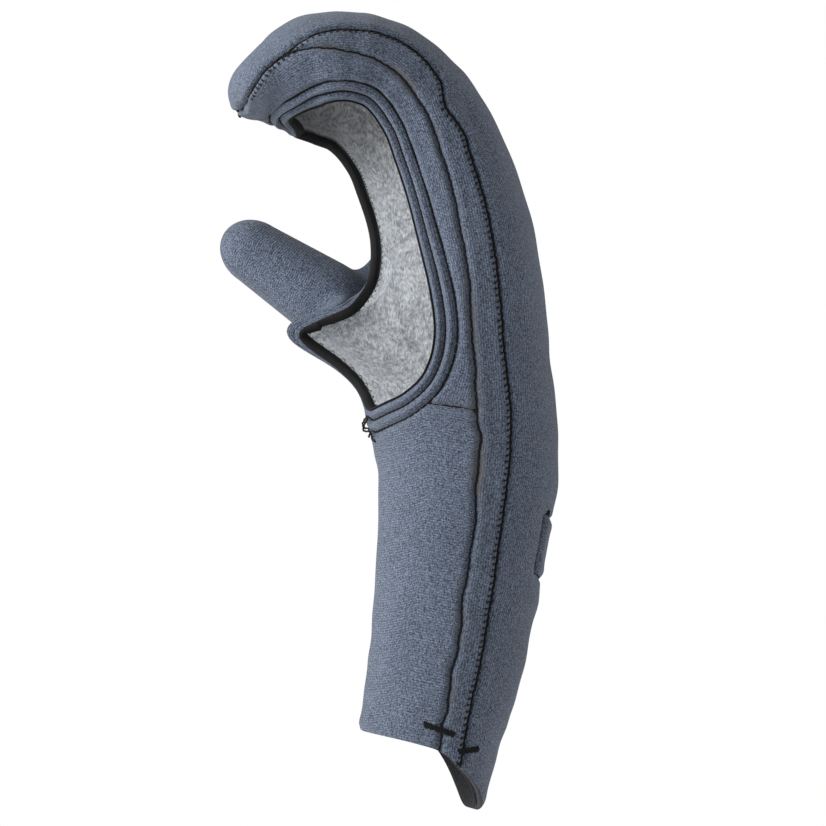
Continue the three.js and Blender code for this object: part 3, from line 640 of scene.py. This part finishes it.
def thumb_root(clear):
    """The root on the hand as one closed row of places: down the hem, back along the heel, up
    the overlocked seam and forward under the first finger."""
    share = np.linspace(ROOT_TOP_SHARE, ROOT_BOTTOM_SHARE, 73)
    hem_at, hem_angle = beside_palm(share, clear)
    step = np.linspace(0, 1, SEAM_COLUMNS + 1)
    back = np.linspace(ROOT_BOTTOM_AT, ROOT_TOP_AT, 37)
    seam = 360 - seam_angle(back, 0) - HALF_GAP
    low_at = hem_at[-1] + (ROOT_BOTTOM_AT - hem_at[-1]) * step
    low_angle = hem_angle[-1] + (seam[0] - hem_angle[-1]) * step
    high_at = ROOT_TOP_AT + (hem_at[0] - ROOT_TOP_AT) * step
    high_angle = seam[-1] + (hem_angle[0] - seam[-1]) * step
    at = np.concatenate([hem_at[:-1], low_at[:-1], back[:-1], high_at[:-1]])
    angle = np.concatenate([hem_angle[:-1], low_angle[:-1], seam[:-1], high_angle[:-1]])
    return at, angle


def thumb_face(depth, ledge=0.0, rows=64):
    """Each column leaves the hand square to it, turns by a cubic into the stall's direction,
    and runs on over narrowing rings to the round end. A face with a ledge first lies flat in the
    hand, over that share of the way from the root to its middle."""
    at, angle = thumb_root(HEM_JOIN)
    middle = section_point(at, angle).mean(axis=0) + THUMB_SET
    flat = skin(at, angle, depth)
    at, angle = at + ledge * (at.mean() - at), angle + ledge * (angle.mean() - angle)
    across = unit(np.cross([0, 0, 1], THUMB_DIRECTION))
    upright = np.cross(THUMB_DIRECTION, across)
    from_middle = section_point(at, angle) - middle
    turn = np.arctan2(from_middle @ upright, from_middle @ across)
    spoke = np.cos(turn)[:, None] * across + np.sin(turn)[:, None] * upright

    def ring(share):
        """The ring at this share of the length: an even taper, then a quarter of an ellipse."""
        rounding = np.clip((share - THUMB_ROUND) / (1 - THUMB_ROUND), 0, 1)
        taper = np.minimum(share / THUMB_ROUND, 1)
        radius = THUMB_ROOT_RADIUS + (THUMB_TIP_RADIUS - THUMB_ROOT_RADIUS) * taper
        radius = (radius - depth) * np.sqrt(1 - rounding**2)
        return middle + THUMB_DIRECTION * share * (THUMB_LENGTH - depth) + spoke * radius

    start = skin(at, angle, depth)
    leaving = (facing(at, angle) + 0.4 * THUMB_DIRECTION) * ROOT_FLARE
    arriving = THUMB_DIRECTION * THUMB_JOINED * THUMB_LENGTH
    joined = ring(THUMB_JOINED)
    columns = [flat] if ledge else []
    for share in np.sin(np.linspace(0, 1, rows) * np.pi / 2):
        s = min(share / THUMB_JOINED, 1)
        turning = (start * (2 * s**3 - 3 * s**2 + 1) + leaving * (s**3 - 2 * s**2 + s)
                   + joined * (3 * s**2 - 2 * s**3) + arriving * (s**3 - s**2))
        columns.append(turning if s < 1 else ring(share))
    return np.stack(columns, 1)


thumb_stall = wall("thumb", thumb_face(0.0), thumb_face(FOAM), [knit], closed=True)
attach(thumb_stall, "root")
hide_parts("thumb_stall")

# Hem of the open palm
# The panels are folded over a tape round the open palm and sewn down with two rows of stitches,
# so that the foam swells into two rounded channels.
HEM_PUFF, HEM_START = 0.0009, 0.0003
# share of the hem's width, and how far the face stands out over HEM_PUFF
HEM_PROFILE = np.array([[0.0, -0.5], [0.2, 0.55], [0.42, -1.0], [0.7, 1.1], [1.0, -1.1]])
INNER_ROW = HEM_PROFILE[2, 0]
HEM_STITCHES = 204
ring_share = np.linspace(0, 1, HEM_STITCHES * 7, endpoint=False)
hem_lift = smooth_curve(HEM_PROFILE, np.linspace(0, 1, 26))
needle = 0.5 + 0.5 * np.cos(2 * np.pi * HEM_STITCHES * ring_share)
over_hem = hem_lift[None, :, 0]
beside_row = np.exp(-(((over_hem - INNER_ROW) / 0.10) ** 2)) + np.exp(-(((over_hem - 1.0) / 0.12) ** 2))
hem_at, hem_angle = beside_palm(ring_share[:, None], HEM_START + (HEM_WIDTH - HEM_START) * over_hem)
hem_depth = -HEM_PUFF * hem_lift[None, :, 1] + 0.0004 * needle[:, None] * beside_row
hem_outer = skin(hem_at, hem_angle, hem_depth)
palm_hem = wall("hem_channels", hem_outer, skin(hem_at, hem_angle, FOAM), [knit], closed=True)
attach(palm_hem, "root")
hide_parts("palm_hem")

# Binding of the open palm
# Black woven tape folded over the cut edge of the open palm, from the knit round to the inside,
# and stitched through all the layers with one row of grey thread.
BINDING_THICKNESS, BINDING_TURN, TAPE_OVER_KNIT, TAPE_UNDER_FOAM = 0.0008, 0.0017, 0.0002, 0.00045


def tape_group():
    """Woven tape: warp ribs along it crossed by finer weft ribs, and lighter threads in patches where
    a fine noise is high.
    """
    tree, given, out = new_group("woven_tape", {"Colour": (0.01, 0.01, 0.012, 1), "Rib mm": 0.7})
    calc = partial(add_math, tree)
    x, y = map_in_mm(tree, given["Map"])
    ribs = calc("SINE", calc("MULTIPLY", calc("DIVIDE", y, given["Rib mm"]), 2 * math.pi))
    warp = calc("SINE", calc("MULTIPLY", calc("DIVIDE", x, 0.45), 2 * math.pi))
    fluff = add_noise(tree, given["Place"], 1800.0, 3.0)
    height = calc("ADD", calc("MULTIPLY", ribs, 0.5), calc("MULTIPLY", warp, 0.3))
    # the black tape is lightened up to 2.4 times where the fine noise is high
    lighter_where_noisy = add_range(tree, fluff, 0.35, 0.8, 0.6, 2.4)
    tree.links.new(add_scaled(tree, given["Colour"], lighter_where_noisy), out["Colour"])
    tree.links.new(calc("ADD", 0.62, calc("MULTIPLY", fluff, 0.3)), out["Roughness"])
    tree.links.new(calc("ADD", height, fluff), out["Height"])
    return tree


tape = cloth_material("black_tape", tape_group(), {"Colour": (0.0045, 0.0045, 0.005, 1)}, 0.00010)
# round the edge by half a turn on its outside, down the inner face, and back below it
under = FOAM + TAPE_UNDER_FOAM
turn = np.linspace(0, np.pi, 9)
tape_reach = np.concatenate([-BINDING_THICKNESS * np.sin(turn), np.linspace(0, BINDING_TURN, 7)[1:],
                             np.linspace(BINDING_TURN, -BINDING_THICKNESS, 9)])
tape_depth = np.concatenate([-TAPE_OVER_KNIT + (under + TAPE_OVER_KNIT) * (1 - np.cos(turn)) / 2,
                             np.full(6, under), np.full(9, under + BINDING_THICKNESS)])
tape_at, tape_angle = beside_palm(ring_share[:, None], tape_reach[None, :])
tape_points = skin(tape_at, tape_angle, tape_depth[None, :])
palm_binding = put_mesh("black_binding", tape_points.reshape(-1, 3), grid_quads(*tape_at.shape, True, True),
                        cloth_map(tape_points).reshape(-1, 2), [tape])
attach(palm_binding, "root")
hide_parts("palm_binding")

# Fleece lining
# Grey marled fleece, brushed on its inside, lies below the foam of the hand and shows through the
# open palm. The thumb and the hem are lined with it too.


def fleece_group():
    """Brushed marl fleece: two warped noises drawn out along and across the cloth lay light and
    dark fibres in tufts, and their sum is the height of the pile. Higher up than 0.248 to 0.272 m
    the colour is darkened to 0.45 of itself: painted shade under the hood over the fingertips."""
    takes = {"Light": (0.6, 0.6, 0.6, 1), "Dark": (0.18, 0.18, 0.19, 1)}
    tree, given, out = new_group("marl_fleece", takes, gives=("Colour", "Height"))
    calc, place = partial(add_math, tree), given["Place"]
    warp = add_node(tree, "ShaderNodeTexNoise", {"Vector": place, "Scale": 70.0, "Detail": 2.0})
    bent = add_scaled(tree, warp.outputs["Color"], 0.006)
    moved = add_node(tree, "ShaderNodeVectorMath", {0: place, 1: bent}, operation="ADD").outputs[0]
    fibres = []
    for turn, scale in (((0.3, 0.5, 0.2), 1500.0), ((0.9, -0.4, 1.2), 1900.0)):
        laid = add_node(tree, "ShaderNodeMapping", {"Vector": moved, "Rotation": turn, "Scale": (1, 1, 0.34)})
        hairs = {"Vector": laid.outputs[0], "Scale": scale, "Detail": 3.0, "Roughness": 0.6}
        fibres.append(add_node(tree, "ShaderNodeTexNoise", hairs).outputs["Fac"])
    tufts, clouds = add_noise(tree, moved, 480.0, 3.0), add_noise(tree, place, 60.0, 3.0)
    pile = calc("MULTIPLY", calc("ADD", *fibres), 0.5)
    mixed = calc("ADD", calc("MULTIPLY", pile, 0.55), calc("MULTIPLY", tufts, 0.3))
    mixed = calc("ADD", mixed, calc("MULTIPLY", clouds, 0.15))
    tones = {"Factor": add_range(tree, mixed, 0.42, 0.58, 0.0, 1.0), "A": given["Dark"], "B": given["Light"]}
    tone = add_node(tree, "ShaderNodeMix", tones, data_type="RGBA").outputs[2]
    # painted shade: the fleece is darkened towards the top of the mitten, where the hood over the fingertips
    # shades it
    height = add_node(tree, "ShaderNodeSeparateXYZ", {0: place}).outputs["Z"]
    shade = add_range(tree, height, 0.248, 0.272, 1.0, 0.45)
    tree.links.new(add_scaled(tree, tone, shade), out["Colour"])
    tree.links.new(calc("ADD", pile, calc("MULTIPLY", tufts, 1.2)), out["Height"])
    return tree


FLEECE_TONES = {"Light": (0.92, 0.94, 0.96, 1), "Dark": (0.34, 0.35, 0.37, 1)}
fleece = cloth_material("grey_fleece", fleece_group(), FLEECE_TONES, 0.0004, 0.3, roughness=0.9)
# the inner faces of the hem and the thumb, the second half of each mesh but for its rims
for piece, rim in ((palm_hem, len(ring_share)), (thumb_stall, len(thumb_root(HEM_JOIN)[0]))):
    piece.data.materials.append(fleece)
    one_side = len(piece.data.polygons) // 2 - rim
    inside = np.zeros(len(piece.data.polygons), np.int32)
    inside[one_side:2 * one_side] = 1
    piece.data.polygons.foreach_set("material_index", inside)

LINING_GAP, THUMB_LEDGE, STRIP_REACH, STRIP_SUNK = 0.0003, 0.22, 0.0055, 0.0001
LINING_CLEAR = BINDING_TURN + LINING_GAP
top, bottom = FOAM + LINING_GAP, FOAM + LINING_GAP + FLEECE


def lining(name, at, angle, material, sunk=0.0, closed=False):
    """A layer of lining below the foam, over a grid of places, a little deeper where it is sunk."""
    return wall(name, skin(at, angle, top + sunk), skin(at, angle, bottom + sunk), [material], closed)


down = np.linspace(LINING_SPLIT_AT, NEAR_TIP, 220)[:, None]
lining_back = lining("fleece_back", down, side[None, :] * seam_angle(down, 0), fleece)
hood_lining = hood_places(np.linspace(LINING_CLEAR, HEM_WIDTH, 6), np.linspace(0, 1, 20)[1:])
lining_hood = lining("fleece_hood", *hood_lining, fleece)
foot, top_at, top_angle = (row[..., None] for row in wrist_columns(LINING_CLEAR))
in_at = LINING_SPLIT_AT + (top_at - LINING_SPLIT_AT) * np.linspace(0, 1, 40)[None, :]
lining_wrist = lining("fleece_wrist", in_at, up_column(foot, top_at, top_angle, in_at), fleece)
lining_thumb = wall("fleece_thumb", thumb_face(top, THUMB_LEDGE), thumb_face(bottom, THUMB_LEDGE), [fleece],
                    closed=True)
beside_places = beside_palm(np.linspace(ROOT_TOP_SHARE, ROOT_BOTTOM_SHARE, 90)[:, None],
                            np.linspace(LINING_CLEAR, HEM_WIDTH + STRIP_REACH, 14)[None, :])
beside_thumb = lining("fleece_beside_thumb", *beside_places, fleece, STRIP_SUNK)
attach(beside_thumb, "root")
for piece, node in ((lining_back, "lining_back"), (lining_hood, "lining_hood"),
                    (lining_wrist, "lining_wrist"), (lining_thumb, "lining_thumb")):
    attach(piece, "root")
    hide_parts(node)

# Cuff lining
# Smooth dark charcoal jersey below the foam of the cuff, which shows at the mouth and meets the
# fleece inside the wrist.
FINE_KNIT = {"Colour": (0.008, 0.0085, 0.0095, 1), "Row mm": 0.6, "Column mm": 0.7}
jersey = cloth_material("charcoal_jersey", jersey_knit, FINE_KNIT, 0.00008)
around = np.linspace(-180, 180, 240, endpoint=False)[:, None]
start = mouth_at(around)
cuff_at = start + (LINING_SPLIT_AT - start) * np.linspace(0, 1, 60)[None, :]
lining_cuff = lining("cuff_jersey", cuff_at, around, jersey, closed=True)
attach(lining_cuff, "root")
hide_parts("lining_cuff")

# Wrist patch
# A second layer of the foam sheet across the back of the wrist, let into a shallow bed of the back
# panel and sewn down at both ends.
PATCH_THICKNESS, PATCH_END_DIP, PATCH_SIDE_DIP, BEDDED = 0.0018, 0.0012, 0.0009, 0.0001
patch_angle, patch_at = np.meshgrid(np.linspace(PATCH_ANGLE, -PATCH_ANGLE, 60),
                                    np.linspace(PATCH_FROM, PATCH_TO, 24), indexing="ij")
patch_dips = border_depth(skin(patch_at, patch_angle), first=PATCH_END_DIP, last=PATCH_END_DIP,
                          low=PATCH_SIDE_DIP, high=PATCH_SIDE_DIP)
bed = PATCH_BED - BEDDED
wrist_patch = wall("patch_on_wrist", skin(patch_at, patch_angle, patch_dips + bed - PATCH_THICKNESS),
                   skin(patch_at, patch_angle, bed), [knit, core])
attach(wrist_patch, "root")
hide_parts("wrist_patch")

# Seams and stitching
# Black polyester thread: a ladder of overlocking along both sides of the back panel, two rows of
# lock stitches round the hem, a row on the tape, bar-tacks at the cuff and loose thread ends.
STITCH_PITCH, STITCH_STEPS, THREAD_SIDES, SEAM_THREAD = 0.0025, 8, 6, 0.00032
# swing and wavelength of the two sines by which a sunk thread moves to and fro
THREAD_WAVER = ((0.00016, 0.0031), (0.00012, 0.0083))
# from a place and angle to a place and angle
BAR_TACKS = ((1.64, 115.0, 1.51, 90.5), (1.22, 86.0, 1.34, 66.0),
             (4.83, 37.0, 4.83, 33.0), (4.83, -37.0, 4.83, -33.0))


def thread_group():
    """Twisted thread: a sine along and round it is its two plies, and fine noise its fibres. The
    colour is painted lighter on the plies' crests and darker between them, painted light and shade
    that follow the relief, and varies with the fibres.
    """
    tree, given, out = new_group("twisted_thread", {"Colour": (0.012, 0.012, 0.014, 1)})
    calc = partial(add_math, tree)
    parts = add_node(tree, "ShaderNodeSeparateXYZ", {0: given["Map"]}).outputs
    turns = calc("ADD", calc("MULTIPLY", parts["Y"], 1400.0), calc("MULTIPLY", parts["X"], 1000.0))
    plies = calc("SINE", calc("MULTIPLY", turns, 2 * math.pi))
    lint = add_noise(tree, given["Place"], 3000.0, 2.0)
    # painted light and shade: the colour follows the plies' relief, lighter on the crests and darker in the
    # grooves
    shade = add_range(tree, calc("ADD", plies, lint), -1.0, 2.0, 0.5, 2.2)
    tree.links.new(add_scaled(tree, given["Colour"], shade), out["Colour"])
    tree.links.new(calc("ADD", 0.7, calc("MULTIPLY", lint, 0.3)), out["Roughness"])
    tree.links.new(calc("ADD", calc("MULTIPLY", plies, 0.5), lint), out["Height"])
    return tree


twisted_thread = thread_group()
thread = cloth_material("black_thread", twisted_thread, {"Colour": (0.0025, 0.0025, 0.003, 1)}, 0.00006)
grey_thread = cloth_material("grey_thread", twisted_thread, {"Colour": (0.06, 0.06, 0.065, 1)}, 0.00006)


def tube(path, up, radius, closed=False):
    """Six-sided rings round a path, square to it and standing on its up directions."""
    ends = np.roll(path, -1, axis=0) - np.roll(path, 1, axis=0) if closed else np.gradient(path, axis=0)
    ahead = unit(ends)
    aside = unit(np.cross(ahead, up))
    above = np.cross(aside, ahead)
    turn = 2 * np.pi * np.arange(THREAD_SIDES)[None, :, None] / THREAD_SIDES
    out = aside[:, None] * np.cos(turn) + above[:, None] * np.sin(turn)
    return path[:, None] + out * np.broadcast_to(radius, len(path))[:, None, None]


def thread_piece(name, tubes, material, closed=False):
    """One mesh of several tubes, joined end to end or with flat ends, mapped along and round."""
    points, quads, maps, start = [], [], [], 0
    for rings in tubes:
        last = start + (len(rings) - 1) * THREAD_SIDES
        quads.append(start + grid_quads(len(rings), THREAD_SIDES, closed, True))
        if not closed:
            ends = np.array([[3, 2, 1, 0], [5, 4, 3, 0]]), np.array([[0, 1, 2, 3], [0, 3, 4, 5]])
            quads += [start + ends[0], last + ends[1]]
        along = distance_along(rings.mean(axis=1))[:, None]
        around = np.arange(THREAD_SIDES)[None, :] / THREAD_SIDES / 1000
        maps.append(np.stack(np.broadcast_arrays(around, along), -1).reshape(-1, 2))
        points.append(rings.reshape(-1, 3))
        start += len(rings) * THREAD_SIDES
    piece = put_mesh(name, np.concatenate(points), np.concatenate(quads), np.concatenate(maps), [material])
    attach(piece, "root")
    return piece


def along_line(at, angle, depth, step):
    """Even steps along a line of places: distance, point, and directions ahead, aside and up."""
    length = distance_along(skin(at, angle, depth))
    t = np.arange(0, length[-1], step)
    here_at, here_angle = np.interp(t, length, at), np.interp(t, length, angle)
    point = skin(here_at, here_angle, np.interp(t, length, depth))
    up = facing(here_at, here_angle)
    ahead = unit(np.gradient(point, axis=0))
    return t, point, ahead, unit(np.cross(up, ahead)), up


def seam_thread(at, angle, sunk, radius):
    """A thread laid in a seam, moved to and fro by sines of the distance along it."""
    t, point, ahead, aside, up = along_line(at, angle, dents(at, angle) + sunk, 0.0004)
    waver = sum(swing * np.sin(t * 2 * np.pi / wave) for swing, wave in THREAD_WAVER)
    return tube(point + aside * waver[:, None], up, radius)


def overlocking(name, hand_side):
    """A thread sunk in the seam and beside it, on the palm's side, a row of short slanting
    stitches. Each crosses from the seam, stands up by half a turn of a sine, and is thickest at
    its far end, where it dives into its needle hole."""
    at = np.linspace(float(mouth_at(hand_side * 79.0)) + 0.01, TIP - 0.10, 3000)
    angle = hand_side * seam_angle(at, 0)
    t, point, ahead, aside, up = along_line(at, angle, dents(at, angle), STITCH_PITCH / STITCH_STEPS)
    chance = np.random.default_rng(4)
    s = np.linspace(0, 1, 9)
    tubes = [seam_thread(at, angle, 0.00080, 0.00042)]
    for k in range(STITCH_STEPS // 2, len(t) - STITCH_STEPS // 2, STITCH_STEPS):
        long, slant, thick = chance.uniform([0.0016, 0.0004, 0.85], [0.0021, 0.0012, 1.15])
        across = 0.0003 + long * s
        height = 0.00035 * np.sin(np.pi * s) - SEAM_DEPTH * seam_dip(across) - 0.00025 * s
        path = (point[k] + hand_side * aside[k] * across[:, None] - ahead[k] * (slant * (s - 0.5))[:, None]
                + up[k] * height[:, None])
        tubes.append(tube(path, up[k], thick * (0.00020 + 0.00048 * s ** 3)))
    return thread_piece(name, tubes, thread)


overlocking("overlock_little_finger", 1)
overlocking("overlock_first_finger", -1)
# threads in the blind seam, in the cross seam, at the thumb's foot and in the thumb's crotch
blind_at = np.linspace(float(mouth_at(100.0)) + 0.01, STRIP_ENDS_AT + 0.4, 1500)
_, cross_at, cross_angle = wrist_columns(HEM_JOIN)
root_at, root_angle = thumb_root(HEM_JOIN)
cross, crotch = SEAM_COLUMNS + 1, SEAM_COLUMNS
thread_piece("sunk_threads", [
    seam_thread(blind_at, seam_angle(blind_at, 1), 0.0008, SEAM_THREAD),
    seam_thread(cross_at[:cross], cross_angle[:cross], 0.0009, SEAM_THREAD),
    seam_thread(cross_at[-cross:], cross_angle[-cross:], 0.0009, SEAM_THREAD),
    seam_thread(root_at[-crotch:], root_angle[-crotch:], 0.0004, SEAM_THREAD),
], thread)


def lock_stitches(name, distance, depth, radius, material):
    """A row round the palm beside its edge. The thread dives at each needle hole by a narrow
    power of a cosine, so that a short stitch shows between two holes."""
    share = np.linspace(0, 1, HEM_STITCHES * 10, endpoint=False)
    at, angle = beside_palm(share, distance)
    dive = (0.5 + 0.5 * np.cos(2 * np.pi * HEM_STITCHES * share)) ** 4
    path = skin(at, angle, depth + 0.0009 * dive)
    return thread_piece(name, [tube(path, facing(at, angle), radius, closed=True)], material, closed=True)


lock_stitches("hem_stitches_inner", HEM_START + INNER_ROW * (HEM_WIDTH - HEM_START), 0.00075, 0.00040, thread)
lock_stitches("hem_stitches_outer", HEM_WIDTH - 0.0002, 0.00075, 0.00044, thread)
lock_stitches("tape_stitches", 0.0011, under + BINDING_THICKNESS + 0.0001, 0.00016, grey_thread)


def bar_tack(at0, angle0, at1, angle1):
    """A dense zigzag, a clipped sine across the line between two places."""
    at, angle = np.linspace(at0, at1, 200), np.linspace(angle0, angle1, 200)
    t, point, ahead, aside, up = along_line(at, angle, dents(at, angle) - 0.0004, 0.00004)
    t = t[:, None]
    across = np.clip(1.3 * np.sin(2 * np.pi * t / 0.00052), -1, 1)
    wander = 0.00015 * np.sin(t * 3100) + 0.0001 * np.sin(t * 7900)
    return tube(point + aside * (0.00095 * across + wander) + up * 0.00012 * np.cos(t * 9000), up, 0.00022)


thread_piece("bar_tacks", [bar_tack(*tack) for tack in BAR_TACKS], thread)

# each loose end: rows of place, angle and height over the face, from where it leaves the seam
LOOSE_ENDS = (
    np.array([[6.36, 186, -0.0006], [6.30, 192, 0.0014], [6.24, 196, 0.0026], [6.16, 193, 0.0020],
              [6.12, 187, 0.0012], [6.05, 184, 0.0014], [5.97, 183, 0.0008], [5.90, 180, 0.0014],
              [5.84, 178, 0.0006]]),
    np.array([[6.33, 182, -0.0004], [6.26, 187, 0.0012], [6.19, 190, 0.0024], [6.10, 189, 0.0030],
              [6.03, 183, 0.0012], [5.95, 184, 0.0020]]),
)


def loose_end(knots):
    """A thread's free end as a smooth curve through its row of places, in small kinks."""
    at, angle, height = smooth_curve(knots, np.linspace(0, 1, 90)).T
    kinks = 0.00010 * np.stack([np.sin(np.arange(90) * rate) for rate in (0.9, 1.3, 0.7)], axis=-1)
    return tube(skin(at, angle, -height) + kinks, facing(at, angle), 0.00040)


thread_piece("loose_ends", [loose_end(knots) for knots in LOOSE_ENDS], thread)

# Floor, light and camera
# A plain pale floor below the mitten, soft lamps on both sides and in front, a pale sky, and the
# camera at the photo's angle.
FLOOR_AT, FLOOR_SIZE, SKY_LIGHT = -0.16, 6, 0.58
LOOK_AT = np.array([-0.005, 0, 0.142])
# the photo's side in pixels, the pixel where LOOK_AT lies in it, and the metres that it shows
# across LOOK_AT from a distance of one metre
PHOTO_SIDE, LOOK_PIXEL, SHOWN = 826, (422.5, 407.7), 0.3304
bpy.ops.mesh.primitive_plane_add(size=FLOOR_SIZE, location=(0, 0, FLOOR_AT))
floor = bpy.context.active_object
floor.name = "floor"
paper = bpy.data.materials.new("studio_paper")
paper.use_nodes = True
paper.node_tree.nodes["Principled BSDF"].inputs["Base Color"].default_value = (0.86, 0.86, 0.86, 1)
paper.node_tree.nodes["Principled BSDF"].inputs["Roughness"].default_value = 0.9
floor.data.materials.append(paper)

world = bpy.data.worlds.new("studio")
world.use_nodes = True
sky = world.node_tree
sky.nodes["Background"].inputs["Color"].default_value = (1, 1, 1, 1)
seen = add_node(sky, "ShaderNodeLightPath").outputs["Is Camera Ray"]
strength = add_range(sky, seen, 0.0, 1.0, SKY_LIGHT, 1.0)
sky.links.new(strength, sky.nodes["Background"].inputs["Strength"])
bpy.context.scene.world = world


def look_from(thing, azimuth, elevation, distance):
    """Puts a lamp or camera in a direction round LOOK_AT, in degrees, and turns it to face that."""
    a, e = math.radians(azimuth), math.radians(elevation)
    back = np.array([math.sin(a) * math.cos(e), -math.cos(a) * math.cos(e), math.sin(e)])
    bpy.context.scene.collection.objects.link(thing)
    thing.location = LOOK_AT + back * distance
    thing.rotation_euler = Vector(-back).to_track_quat("-Z", "Y").to_euler()


def soft_light(name, size, power, *direction):
    """A square area light of this size in metres and power in watts."""
    lamp = bpy.data.lights.new(name, "AREA")
    lamp.size, lamp.energy = size, power
    look_from(bpy.data.objects.new(name, lamp), *direction)


soft_light("key", 0.9, 39, -84, 20, 1.2)
soft_light("fill", 1.0, 10, 84, 20, 1.4)
soft_light("front", 1.0, 3.5, -20, 0, 1.5)
optics = bpy.data.cameras.new("camera")
camera = bpy.data.objects.new("camera", optics)
look_from(camera, -15, -9.5, 1)
optics.sensor_width = 36
optics.lens = optics.sensor_width / SHOWN
optics.shift_x = (PHOTO_SIDE / 2 - LOOK_PIXEL[0]) / PHOTO_SIDE
optics.shift_y = (LOOK_PIXEL[1] - PHOTO_SIDE / 2) / PHOTO_SIDE
bpy.context.scene.camera = camera
bpy.context.scene.view_settings.view_transform = "Standard"
